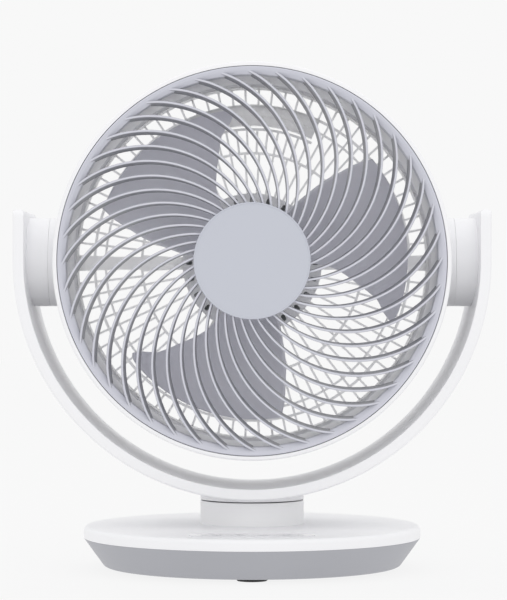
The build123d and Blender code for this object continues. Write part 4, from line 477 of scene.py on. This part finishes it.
def make_piece(name, mesh, finish, body, replaced=(), sharp_deg=40):
    """A mesh, or grids of points, as one evenly shaded piece that rides on its body."""
    if isinstance(mesh, list):
        mesh = mesh_of(name, mesh)
    mesh.polygons.foreach_set("use_smooth", np.ones(len(mesh.polygons), bool))
    mesh.set_sharp_from_angle(angle=np.radians(sharp_deg))
    mesh.materials.clear()
    mesh.materials.append(finish)
    piece = bpy.data.objects.new(name, mesh)
    bpy.context.scene.collection.objects.link(piece)
    even = piece.modifiers.new("even_shading", "WEIGHTED_NORMAL")
    even.keep_sharp = True
    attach(piece, body)
    if replaced:
        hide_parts(*replaced)
    print(name, len(mesh.polygons), "faces")


print("faces of a 3 by 3 grid:", len(grid_faces(3, 3)))

# %% [markdown]
# ## Front grille
# The front grille is one moulding: an outer rim with a shallow cone for a face, a small
# plate behind the hub disc, and 44 ribs that swirl between them. In plan each rib is an
# arc of a circle, and it leans a little over its depth, so its side shows next to its pale
# front edge as a dark line, partly rendered shade and partly painted shade in the ribs' colour.
# A curve with a bevel could give a round rib. A real rib is a strip with soft edges from the
# mould, deeper at the rim than at the hub, so its section is carried along the arc as an array.

# %% Edges of a rib
AXIS_HEIGHT = 204.0                       # fan axis above the table
RIB_COUNT, RIB_ARC = 44, 75.3             # number of ribs, radius of a rib's arc in plan
RIB_OFFSET, RIB_START = 68.3, 0.46        # the arc's centre: distance from the axis, degrees round it
RIB_THICK = 1.5
RIB_TWIST, TWIST_FROM, TWIST_OVER = 2.4, 66, 16       # degrees of lean, from a depth, over a depth
# Depth of the front and the back edge at some radii, with straight lines between them. The
# front edge falls away towards the rim, and the back edge steps up onto the rim's cone.
RIB_FRONT = np.array([(35, 63.8), (37.8, 63.8), (37.9, 64.4), (116.0, 61.9), (119.0, 61.6),
                      (121.0, 61.0), (122.5, 60.2), (123.7, 59.4)]).T
RIB_BACK = np.array([(36.6, 59.9), (121.0, 52.3), (121.1, 57.4), (123.7, 58.4)]).T


def on_head(points):
    """Points drawn on the fan's axis: x right, y up, z forward of the tilt axis."""
    return np.stack([points[..., 0], -points[..., 2], AXIS_HEIGHT + points[..., 1]], axis=-1)


def spun(x, y, z, degrees):
    """Points turned by t about the z axis: (x cos t - y sin t, x sin t + y cos t, z)."""
    turn = np.radians(degrees)
    return np.stack([
        x * np.cos(turn) - y * np.sin(turn), x * np.sin(turn) + y * np.cos(turn), z], axis=-1)


def closed_ends(grid):
    """The grid with one more column at each end: the mean of the points of its end column, which
    closes the end with a fan of faces."""
    first, last = grid[:, :1].mean(0, keepdims=True), grid[:, -1:].mean(0, keepdims=True)
    caps = [np.broadcast_to(end, grid[:, :1].shape) for end in (first, last)]
    return np.concatenate([caps[0], grid, caps[1]], axis=1)


print("rib depth at the hub:", round(RIB_FRONT[1, 2] - RIB_BACK[1, 0], 1), "mm")

# %% One swirl rib
def rib_grid(turn_deg, steps=40):
    """A rounded strip along an arc. With C the arc's centre at RIB_OFFSET from the axis, a point
    lies at C + (RIB_ARC + o)(cos p, sin p), where o runs across the strip and p along it. The
    strip's front edge is round, its back edge bevelled, and with depth it turns about the fan
    axis by RIB_TWIST over TWIST_OVER."""
    radius = np.concatenate([np.linspace(35.0, 114.0, steps - 10), np.linspace(116.0, 123.7, 10)])
    reach = np.arccos((radius**2 - RIB_OFFSET**2 - RIB_ARC**2) / (2 * RIB_OFFSET * RIB_ARC))
    along = np.radians(RIB_START) - reach
    half, soft, bevel, arc = RIB_THICK / 2, 0.5, 0.3, np.linspace(0, np.pi / 2, 5)
    across = np.concatenate([half - soft + soft * np.cos(arc), soft - half - soft * np.sin(arc),
                             [-half, bevel - half, half - bevel, half, half]])[:, None]
    below = np.concatenate([1 - np.sin(arc), 1 - np.cos(arc), np.zeros(4), [1]])[:, None] * soft
    above = np.array([0.0] * 10 + [bevel, 0, 0, bevel, 0])[:, None]
    at_back = np.array([False] * 10 + [True] * 4 + [False])[:, None]
    front, back = np.interp(radius, *RIB_FRONT) - below, np.interp(radius, *RIB_BACK) + above
    depth = np.where(at_back, back, front)
    ring = RIB_ARC + across
    start = np.radians(RIB_START)
    x = RIB_OFFSET * np.cos(start) + ring * np.cos(along)
    y = RIB_OFFSET * np.sin(start) + ring * np.sin(along)
    return spun(x, y, depth, turn_deg + RIB_TWIST * (TWIST_FROM - depth) / TWIST_OVER)


print("points in a rib:", rib_grid(0).size // 3)

# %% Rim, plate and 44 ribs
rim = turned(rounded([
    (125.7, 46.0, 0.3), (125.7, 61.0, 0.7),                                # outer wall
    (123.0, 60.2, 5.0), (120.2, 58.8, 0.7),                                # cone of the face
    (120.2, 46.0, 0), (121.9, 46.0, 0),                                    # inner wall
    (121.9, 57.4, 0.3), (124.0, 59.0, 0.7), (124.0, 46.0, 0)]), WIDE_STEPS)   # hollow behind the face
plate = turned(rounded([(0, 61.2, 0), (36.6, 61.2, 0.4), (36.6, 63.8, 0), (0, 63.8, 0)]), 96)
ribs = [closed_ends(rib_grid(360 / RIB_COUNT * k)) for k in range(RIB_COUNT)]
make_piece("front_grille_rim", [on_head(rim), on_head(plate)],
           grille_pp, "head", ["front_grille"])
make_piece("front_grille_ribs", [on_head(rib) for rib in ribs], rib_pp_painted_shade, "head")

# %% [markdown]
# ## Hub disc
# The disc is a separate blank cap over the ribs' inner ends, with a fine raised edge. A
# plain cylinder would do from afar, but the raised edge catches a thin line of light, so
# its outline is turned like the rim.

# %% Hub disc
hub_disc = turned(rounded([
    (0, 63.8, 0), (37.7, 63.8, 0), (37.7, 66.4, 0.5),                  # flat back, outer edge
    (36.8, 66.4, 0.2), (36.7, 66.1, 0.1), (0, 66.1, 0)]), 160)         # raised edge, sunk face
make_piece("hub_disc", [on_head(hub_disc)], disc_abs, "head", ["hub_cap"])

# %% [markdown]
# ## Impeller
# Three wide blades on a drum. A blade is part of a screw surface, which rises evenly
# with the angle. A thin sheet with Solidify would have square edges. Here both faces are
# laid off the middle sheet along its normal, by a thickness that rounds off towards
# every edge and flares into the drum at the root, as a mould needs.

# %% Outline of a blade
BLADE_THICK, BLADE_TIP, DRUM_RADIUS = 2.2, 104.0, 34.0
BLADE_PITCH, BLADE_MID = 42.0, 6.0                    # rise for each radian, depth at angle 0
BLADE_TURN = 254                                      # where the first blade stands, degrees
# Angle of the leading and the trailing edge at some radii, as on the solid blade.
LEAD_EDGE = np.array([(30, 42), (43.5, 40), (56, 37), (72, 34), (82, 31.5), (95, 29), (104, 26.5)]).T
TRAIL_EDGE = np.array([(30, -13), (47, -16), (55, -18), (64, -22), (72, -25.5), (87.5, -30.5),
                       (95, -35), (100.5, -37)]).T
TIP_CORNER_MM, TIP_CORNER_DEG = 3.5, 5.0              # round corner between trailing edge and tip
ROOT_REACH, ROOT_FLARE, ROOT_SUNK = 2.5, 2.0, 1.2     # the root flares by 2 mm over 2.5 mm, and is sunk
TIP_ROWS = np.array([2.0, 1.5, 1.1, 0.8, 0.55, 0.35, 0.18, 0.08, 0.02, 0.0])     # mm from the tip
print("blade width at the tip:", LEAD_EDGE[1, -1] - TRAIL_EDGE[1, -1], "degrees")

# %% One blade
def blade_grid(turn_deg, along=46, across=30):
    """A closed blade. With P for BLADE_PITCH, its middle sheet is (r cos a, r sin a, BLADE_MID + P a).
    Both faces stand off it along its normal, (P sin a, -P cos a, r) / sqrt(r^2 + P^2), by half
    the thickness, which falls to 0 at an edge as sqrt(1 - (1 - d)^2) with the distance d."""
    inner = np.linspace(DRUM_RADIUS - ROOT_SUNK, BLADE_TIP - 3, along)
    radius = np.concatenate([inner, BLADE_TIP - TIP_ROWS])[:, None]
    corner = np.clip((radius - BLADE_TIP + TIP_CORNER_MM) / TIP_CORNER_MM, 0, 1)
    lead = np.interp(radius, *LEAD_EDGE)
    trail = np.interp(radius, *TRAIL_EDGE) + TIP_CORNER_DEG * (1 - np.sqrt(1 - corner**2))
    place = (1 - np.cos(np.linspace(0, np.pi, across))) / 2
    edge = np.minimum(place, 1 - place) * np.radians(lead - trail) * radius
    full = BLADE_THICK / 2 * (1.1 - 0.2 * (radius - DRUM_RADIUS) / (BLADE_TIP - DRUM_RADIUS))
    tip = np.clip((BLADE_TIP - radius) / full, 0, 1)
    flare = np.clip(1 - (radius - DRUM_RADIUS) / ROOT_REACH, 0, 1)
    half = full * np.sqrt(1 - (1 - np.clip(edge / full, 0, 1)) ** 2) * np.sqrt(1 - (1 - tip) ** 2)
    half = half + ROOT_FLARE * (1 - np.sqrt(1 - flare**2)) * np.clip(edge / 4, 0, 1)
    place = np.concatenate([place, place[::-1]])
    half = np.concatenate([half, -half[:, ::-1]], axis=1)
    angle = np.radians(trail + (lead - trail) * place)
    reach = np.sqrt(radius**2 + BLADE_PITCH**2)
    x = radius * np.cos(angle) + half * BLADE_PITCH * np.sin(angle) / reach
    y = radius * np.sin(angle) - half * BLADE_PITCH * np.cos(angle) / reach
    z = BLADE_MID + BLADE_PITCH * angle + half * radius / reach
    grid = spun(x, y, z, turn_deg)
    grid = np.concatenate([grid, grid[:, :1]], axis=1)
    root = np.broadcast_to(grid[:1].mean(1, keepdims=True), grid[:1].shape)
    return np.concatenate([root, grid])


print("points in a blade:", blade_grid(0).size // 3)

# %% Drum and three blades
drum = turned(rounded([
    (4.1, 39.0, 0), (34.0, 39.0, 1.6), (34.0, -18.0, 0.4), (31.6, -18.0, 0.4),       # front and skirt
    (31.6, 36.6, 1.0), (8.0, 36.6, 0.5), (8.0, -6.0, 0.3), (4.1, -6.0, 0)]),         # hollow and hub
    NARROW_STEPS)
blades = [blade_grid(BLADE_TURN + 120 * k) for k in range(3)]
make_piece("impeller_moulding", [on_head(grid) for grid in [drum] + blades],
           blade_pp_painted_light, "rotor", ["impeller"], sharp_deg=55)

# %% [markdown]
# ## Head shell and duct
# The shell is a nearly straight drum with a thin white lip that frames the grille's rim,
# and a round boss on each side that carries the head on its pins. A dark hairline
# between lip and rim is the gap of the real joint. The lip is bevelled by the turned
# outline, because a Bevel modifier would also round the seat of the rim. The grey duct
# is a plain sleeve inside, round the blades.

# %% Shell, bosses and duct
def on_pivot(side):
    """Points drawn on the tilt axis, z outwards to the right (side 1) or the left (side -1)."""
    return lambda points: np.stack([
        side * points[..., 2], points[..., 1], AXIS_HEIGHT + points[..., 0]], axis=-1)


BOSS_RADIUS, BOSS_EDGE = 29.3, 0.08       # of the boss and of the seat that it turns against
shell = turned(rounded([
    (126.05, 46.0, 0), (126.05, 60.2, 0.3), (128.9, 60.2, 1.3),                      # lip round the rim
    (128.3, 22.0, 30), (128.3, -31.0, 0.3), (125.3, -31.0, 0),                       # outer wall
    (125.3, -23.8, 0), (119.2, -23.8, 0.2), (119.2, -22.0, 0.2), (125.3, -22.0, 0),  # ledge at the rear
    (125.3, 22.0, 0), (123.6, 46.0, 0)]), WIDE_STEPS)                                # inner wall
boss_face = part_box("front_shell")[1].x * 1000
boss = turned(rounded([
    (16.1, 122.0, 0), (BOSS_RADIUS, 122.0, 0),
    (BOSS_RADIUS, boss_face, BOSS_EDGE), (16.1, boss_face, 0.1)]), NARROW_STEPS)
make_piece("head_shell", [on_head(shell), on_pivot(1)(boss), on_pivot(-1)(boss)],
           white_abs, "head", ["front_shell"])
duct = turned(rounded([
    (120.4, 46.0, 0), (120.4, -22.0, 0), (121.6, -22.0, 0), (121.6, 46.0, 0)]), WIDE_STEPS)
make_piece("duct_sleeve", [on_head(duct)], duct_pp_painted_light, "head", ["duct_ring"])

# %% [markdown]
# ## Yoke
# The yoke is a wide strap bent to a U: half a circle under the head, and straight arms
# up past the pivots, with round corners at their ends. It is moulded as an outer shell
# and an inner cover, so its inner side has a shallow recess with the cover in it. A flat
# strap bent by a modifier would need its length worked out first. Carrying the section
# along the U uses the real radii, and lets the ends be rounded in the same step.

# %% Strap along the U
YOKE_IN, YOKE_OUT = 148.2, 155.4          # inner and outer radius of the U
YOKE_HALF, ARM_RISE = 50.0, 33.5          # half the width, and the arms' height above the fan axis


def strap_grid(section, half_width, end_round, rise_top):
    """A closed section of (distance s from the fan axis, depth) carried along the U: over the
    arc at (s cos a, s sin a), and straight up from the arc's ends. At d from an end the half
    width follows the round corner, w = W - R + sqrt(R^2 - (R - d)^2), and the thickness thins
    to a round edge by the same rule. The last row is drawn in to the middle of the section."""
    drop = end_round * (1 - np.cos(np.linspace(0, np.pi / 2, 9)))
    arm = np.concatenate([[rise_top], rise_top - drop[:-1], np.linspace(rise_top - end_round, 0, 5)])
    arc = np.linspace(np.pi, 2 * np.pi, 121)
    rise = np.concatenate([arm, 0 * arc[1:-1], arm[::-1]])
    angle = np.concatenate([0 * arm + np.pi, arc[1:-1], 0 * arm + 2 * np.pi])
    to_end = np.clip(rise_top - rise, 0, end_round)
    to_end = np.where((angle == np.pi) | (angle == 2 * np.pi), to_end, end_round)
    width = half_width - end_round + np.sqrt(end_round**2 - (end_round - to_end) ** 2)
    near, far = section[:, 0].min(), section[:, 0].max()
    edge = (far - near) / 3
    lost = edge - np.sqrt(edge**2 - (edge - np.minimum(to_end, edge)) ** 2)
    lost[[0, -1]] = 1.5 * edge
    section = np.vstack([section, section[:1]])
    middle = (far + near) / 2
    away = middle + (section[:, :1] - middle) * (1 - lost / (1.5 * edge))
    depth = np.sign(section[:, 1:]) * np.minimum(np.abs(section[:, 1:]), width)
    return np.stack([away * np.cos(angle), depth, AXIS_HEIGHT + away * np.sin(angle) + rise], axis=-1)


print("strap:", round(YOKE_OUT - YOKE_IN, 1), "mm thick,", 2 * YOKE_HALF, "mm wide")

# %% Strap, lining and collar
RECESS_HALF, LINING_HALF = 47.8, 47.6     # half widths of the recess and of the cover in it
outer = rounded([
    (YOKE_IN, -YOKE_HALF, 0.5), (YOKE_OUT, -YOKE_HALF, 1.6),
    (YOKE_OUT, YOKE_HALF, 1.6), (YOKE_IN, YOKE_HALF, 0.5),
    (YOKE_IN, RECESS_HALF, 0.15), (YOKE_IN + 0.4, RECESS_HALF, 0.1),
    (YOKE_IN + 0.4, -RECESS_HALF, 0.1), (YOKE_IN, -RECESS_HALF, 0.15)])
inner = rounded([
    (YOKE_IN, -LINING_HALF, 0.2), (YOKE_IN + 0.8, -LINING_HALF, 0),
    (YOKE_IN + 0.8, LINING_HALF, 0), (YOKE_IN, LINING_HALF, 0.2)])
strap = strap_grid(outer, YOKE_HALF, 5.0, ARM_RISE)
lining = strap_grid(inner, LINING_HALF, 3.0, ARM_RISE - 2.4)
collar = turned(rounded([
    (31.6, 46.4, 0), (34.4, 46.4, 0.4), (34.4, 54.0, 0), (31.6, 54.0, 0)]), NARROW_STEPS)
make_piece("yoke_strap", [strap, collar], white_abs, "yoke", ["yoke_shell"])
make_piece("yoke_lining", [lining], white_abs, "yoke", ["yoke_cover"])

# %% [markdown]
# ## Pivot seats
# Between each arm and the head sits a round seat, the yoke's half of the pivot. The real
# gap to the head's boss is so fine that it shows as a faint line, so the seat is turned to
# within a tenth of a millimetre of the boss, and its other end runs into the strap.

# %% Pivot seats
seat_near, seat_far = (1000 * corner.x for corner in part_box("pivot_seat_right"))
seat = turned(rounded([
    (9.1, seat_near, 0), (BOSS_RADIUS, seat_near - 0.2, BOSS_EDGE),                  # face to the boss
    (BOSS_RADIUS, seat_far + 0.2, 0), (9.1, seat_far + 0.2, 0)]), NARROW_STEPS)      # end in the strap
make_piece("seat_right", [on_pivot(1)(seat)], white_abs, "yoke", ["pivot_seat_right"])
make_piece("seat_left", [on_pivot(-1)(seat)], white_abs, "yoke", ["pivot_seat_left"])

# %% [markdown]
# ## Cutting a recess
# A recess or a window in a turned shell breaks its symmetry. It could be built into the
# grid, but then every ring would have to bend round it. A Boolean cuts it cleanly: the
# cutter is made the same way as any piece, used once, and deleted.

# %% Cut with a Boolean
def cut(name, grids, cutter_grids):
    """A mesh from grids of points, less closed cutters made the same way."""
    body = bpy.data.objects.new("body", mesh_of(name, grids))
    tool = bpy.data.objects.new("tool", mesh_of("cutter", cutter_grids))
    for each in (body, tool):
        bpy.context.scene.collection.objects.link(each)
    step = body.modifiers.new("cut", "BOOLEAN")
    step.object, step.operation, step.solver = tool, "DIFFERENCE", "EXACT"
    result = bpy.data.meshes.new_from_object(body.evaluated_get(bpy.context.evaluated_depsgraph_get()))
    for each in (body, tool):
        bpy.data.objects.remove(each)
    weld(result)
    return result


def slot_rows(length, width, rows):
    """Closed rings of a slot's outline. Each row is (inset i, height h): half circles at
    (+-(length - width) / 2 + r cos a, r sin a, h) with r = width / 2 - i, joined by straights."""
    turn = np.linspace(-np.pi / 2, np.pi / 2, 17)
    side = np.concatenate([turn, turn + np.pi, turn[:1]])
    centre = np.concatenate([np.ones(17), -np.ones(17), [1]]) * (length - width) / 2
    inset, height = np.array(rows, float).T[:, :, None]
    radius = np.maximum(width / 2 - inset, 1e-4)
    return np.stack([centre + radius * np.cos(side), radius * np.sin(side), height + 0 * side], axis=-1)


print("points round a slot:", slot_rows(80, 20, [(0, 0)]).shape[1])

# %% [markdown]
# ## Base
# The base is a white cover with a soft rim over a grey pan with a slanted wall. Both are
# turned. The cover has a recess for the touch panel. The pan has a window for the power
# inlet, shallow pockets for the four feet and wells for the four screws.

# %% Cover
PANEL_MIDDLE = np.array([0, -86.0, 0])    # middle of the touch panel, seen from above
cover = turned(rounded([
    (16.5, 30.3, 0), (16.5, 27.9, 0), (109.6, 26.6, 1.0), (109.6, 21.3, 0),          # bore and underside
    (112.0, 21.3, 0.3), (112.0, 29.0, 3.0), (34.4, 30.3, 0)], 7), WIDE_STEPS)        # rim and top
panel_cut = slot_rows(80.3, 20.3, [(10.15, 28.4), (0, 28.4), (0, 32), (10.15, 32)]) + PANEL_MIDDLE
make_piece("base_cover_moulding", cut("base_cover_moulding", [cover], [panel_cut]),
           white_abs, "base", ["base_cover"])

# %% Pan
PAN_FOOT, PAN_RIM = (98.2, 2.2), (112.0, 21.3)        # lower and upper end of the slanted wall
INLET_HALF, INLET_LOW, INLET_HIGH = 7.05, 7.35, 18.45             # window of the power inlet
FOOT_RING, WELL_RING = 80, 84                         # the feet and the screws stand on these radii
pan = turned(rounded([
    (0, 2.2, 0), (*PAN_FOOT, 4.0), (*PAN_RIM, 0.3),                                  # floor and wall
    (109.2, 21.3, 0), (97.4, 5.0, 1.0), (0, 5.0, 0)], 7), WIDE_STEPS)                # inside
foot_cut = turned(np.array([(0, 1), (10.05, 1), (10.05, 3.6), (0, 3.6)]), 64)        # pocket of a foot
well_cut = turned(np.array([(0, 1), (3.1, 1), (3.1, 5.4), (0, 5.4)]), 32)            # well of a screw
corner_x = INLET_HALF * np.array([-1, 1, 1, -1, -1.0])[:, None] + [0, 0]
corner_z = np.array([INLET_LOW, INLET_LOW, INLET_HIGH, INLET_HIGH, INLET_LOW])[:, None] + [0, 0]
through_wall = 0 * corner_x + [86, 120]
window_cut = closed_ends(np.stack([corner_x, through_wall, corner_z], axis=-1))
quarter = np.radians(90 * np.arange(4))
around = [FOOT_RING * np.array([np.cos(a), np.sin(a), 0]) for a in quarter]
between = [WELL_RING * np.array([np.cos(a), np.sin(a), 0]) for a in quarter + np.pi / 4]
feet_cuts, well_cuts = [foot_cut + place for place in around], [well_cut + place for place in between]
make_piece("base_pan_moulding", cut("base_pan_moulding", [pan], [window_cut] + feet_cuts + well_cuts),
           pan_abs, "base", ["base_pan"])

# %% [markdown]
# ## Surround of the power inlet
# The inlet sits behind the slanted wall, and a thin collar of the pan's own plastic joins
# the two. It could be left out, but then one could look past the inlet into the base. Its
# outer end follows the wall, which is a cone, so each point is set on that cone.

# %% Surround of the power inlet
SUNK = 0.6                                # mm that the surround's mouth lies inside the wall's face


def surround_grid(wall, start):
    """A rectangular tunnel from a depth out to the pan's slanted wall, at y = sqrt(r(z)^2 - x^2),
    with r(z) on the straight line from the wall's foot to its rim, less SUNK."""
    out = np.array([0, 0, wall, wall, 0])
    low, high = INLET_LOW - out, INLET_HIGH + out
    x = np.array([-1, 1, 1, -1, -1.0])[:, None] * (INLET_HALF + out)
    z = np.array([low, low, high, high, low])
    slant = (PAN_RIM[0] - PAN_FOOT[0]) / (PAN_RIM[1] - PAN_FOOT[1])
    mouth = np.sqrt((PAN_FOOT[0] + slant * (z - PAN_FOOT[1]) - SUNK) ** 2 - x**2)
    y = np.where(np.array([True, False, False, True, True]), start, mouth)
    return np.stack([x, y, z], axis=-1)


make_piece("inlet_surround", [surround_grid(1.0, 95.0)], pan_abs, "base")

# %% [markdown]
# ## Neck and touch lens
# The neck is a plain sleeve, and the gap between its top and the yoke's collar is the
# dark seam. The lens is a slot-shaped plate of acrylic. A Bevel modifier could soften its
# edge. A few rings, each set in a little and raised a little, do it in the same array.

# %% Neck and touch lens
neck = turned(rounded([
    (31.8, 29.8, 0), (34.4, 29.8, 0), (34.4, 45.7, 0.5),                             # outside
    (23.1, 45.7, 0), (23.1, 44.9, 0), (31.8, 42.5, 0)]), NARROW_STEPS)               # top and inside
make_piece("neck_moulding", [neck], neck_abs_painted_light, "base", ["neck_sleeve"])
LENS_TOP = 29.6
lens = slot_rows(80, 20, [
    (10, 28.4), (0, 28.4), (0, 29.3),                                                # back and side
    (0.05, 29.45), (0.15, 29.55), (0.3, LENS_TOP), (10, LENS_TOP)])                  # soft edge and face
make_piece("touch_lens", [lens + PANEL_MIDDLE], panel_pmma, "base", ["touch_panel"])

# %% [markdown]
# ## Key symbols
# The four keys carry plain printed symbols: on and off, air speed, swivel and timer. A
# painted texture would blur at this size. Each stroke is a thin strip of ink instead, a
# few hundredths of a millimetre proud of the lens, either along an arc or straight.

# %% Strokes
INK_LOW, INK_HIGH, STROKE = 29.55, 29.63, 0.45        # height of the ink's two faces, width of a stroke


def arc_stroke(radius, from_deg, sweep_deg):
    """A strip along an arc round the key's middle: its outline lies half a stroke to each side
    of the radius and is turned by the sweep."""
    near, far = radius - STROKE / 2, radius + STROKE / 2
    outline = np.array([(near, INK_LOW), (far, INK_LOW), (far, INK_HIGH), (near, INK_HIGH)])
    return turned(outline, 36, from_deg, sweep_deg)


def line_stroke(start, end):
    """A straight strip. Its two ends are moved to each side by half a stroke along the normal of
    their line, (-v, u) for a unit direction (u, v)."""
    ends = np.array([start, end], float)
    along = (ends[1] - ends[0]) / np.linalg.norm(ends[1] - ends[0])
    side = np.array([-along[1], along[0]]) * STROKE / 2
    plan = ends + side * np.array([-1, 1, 1, -1, -1])[:, None, None]
    height = np.array([INK_LOW, INK_LOW, INK_HIGH, INK_HIGH, INK_LOW])[:, None, None] + 0 * plan[..., :1]
    return closed_ends(np.concatenate([plan, height], axis=-1))


print("ink above the lens:", round(INK_HIGH - LENS_TOP, 2), "mm")

# %% Four symbols
KEY_PITCH = 15                            # mm from one key to the next
symbols = {
    "on_and_off": [closed_ends(arc_stroke(2.6, 120, 300)), line_stroke((0, 0.6), (0, 3.2))],
    "air_speed": [line_stroke((-2.8, 1.6), (1.6, 1.6)), line_stroke((-2.8, 0), (2.8, 0)),
                  line_stroke((-2.8, -1.6), (0.4, -1.6))],
    "swivel": [closed_ends(arc_stroke(2.8, 205, 130)),
               line_stroke((-2.5, -1.2), (-3.2, 0.1)), line_stroke((-2.5, -1.2), (-1.2, -0.8)),
               line_stroke((2.5, -1.2), (3.2, 0.1)), line_stroke((2.5, -1.2), (1.2, -0.8))],
    "timer": [arc_stroke(2.7, 0, 360), line_stroke((0, 0), (0, 1.7)), line_stroke((0, 0), (1.2, 0))],
}
marks = [stroke + PANEL_MIDDLE + (KEY_PITCH * (k - 1.5), 0, 0)
         for k, strokes in enumerate(symbols.values()) for stroke in strokes]
make_piece("key_symbols", marks, key_ink, "base")

# %% [markdown]
# ## Parts that keep the solid's shape
# Some solids already have the right shape, but their curved faces are flat triangles.
# They could be modelled again. A welded copy of such a mesh is enough, because it can be
# shaded smoothly and still keeps its sharp edges. The rear grille and the grip also get
# the thin plastic that lets the light through.

# %% Smooth copies
def smooth_copy(node, body, finish):
    """A welded copy of a solid's mesh that stands for it."""
    mesh = nodes[node].data.copy()
    weld(mesh)
    make_piece(node + "_smooth", mesh, finish, body, [node], sharp_deg=28)


for name in ("rear_grille", "carry_grip"):
    smooth_copy(name, "head", thin_pp)
for name in ("rear_cap", "motor_shield", "motor_cup"):
    smooth_copy(name, "head", FINISH[slot_of[name]])
for name in ("feet", "swivel_bush"):
    smooth_copy(name, "base", FINISH[slot_of[name]])
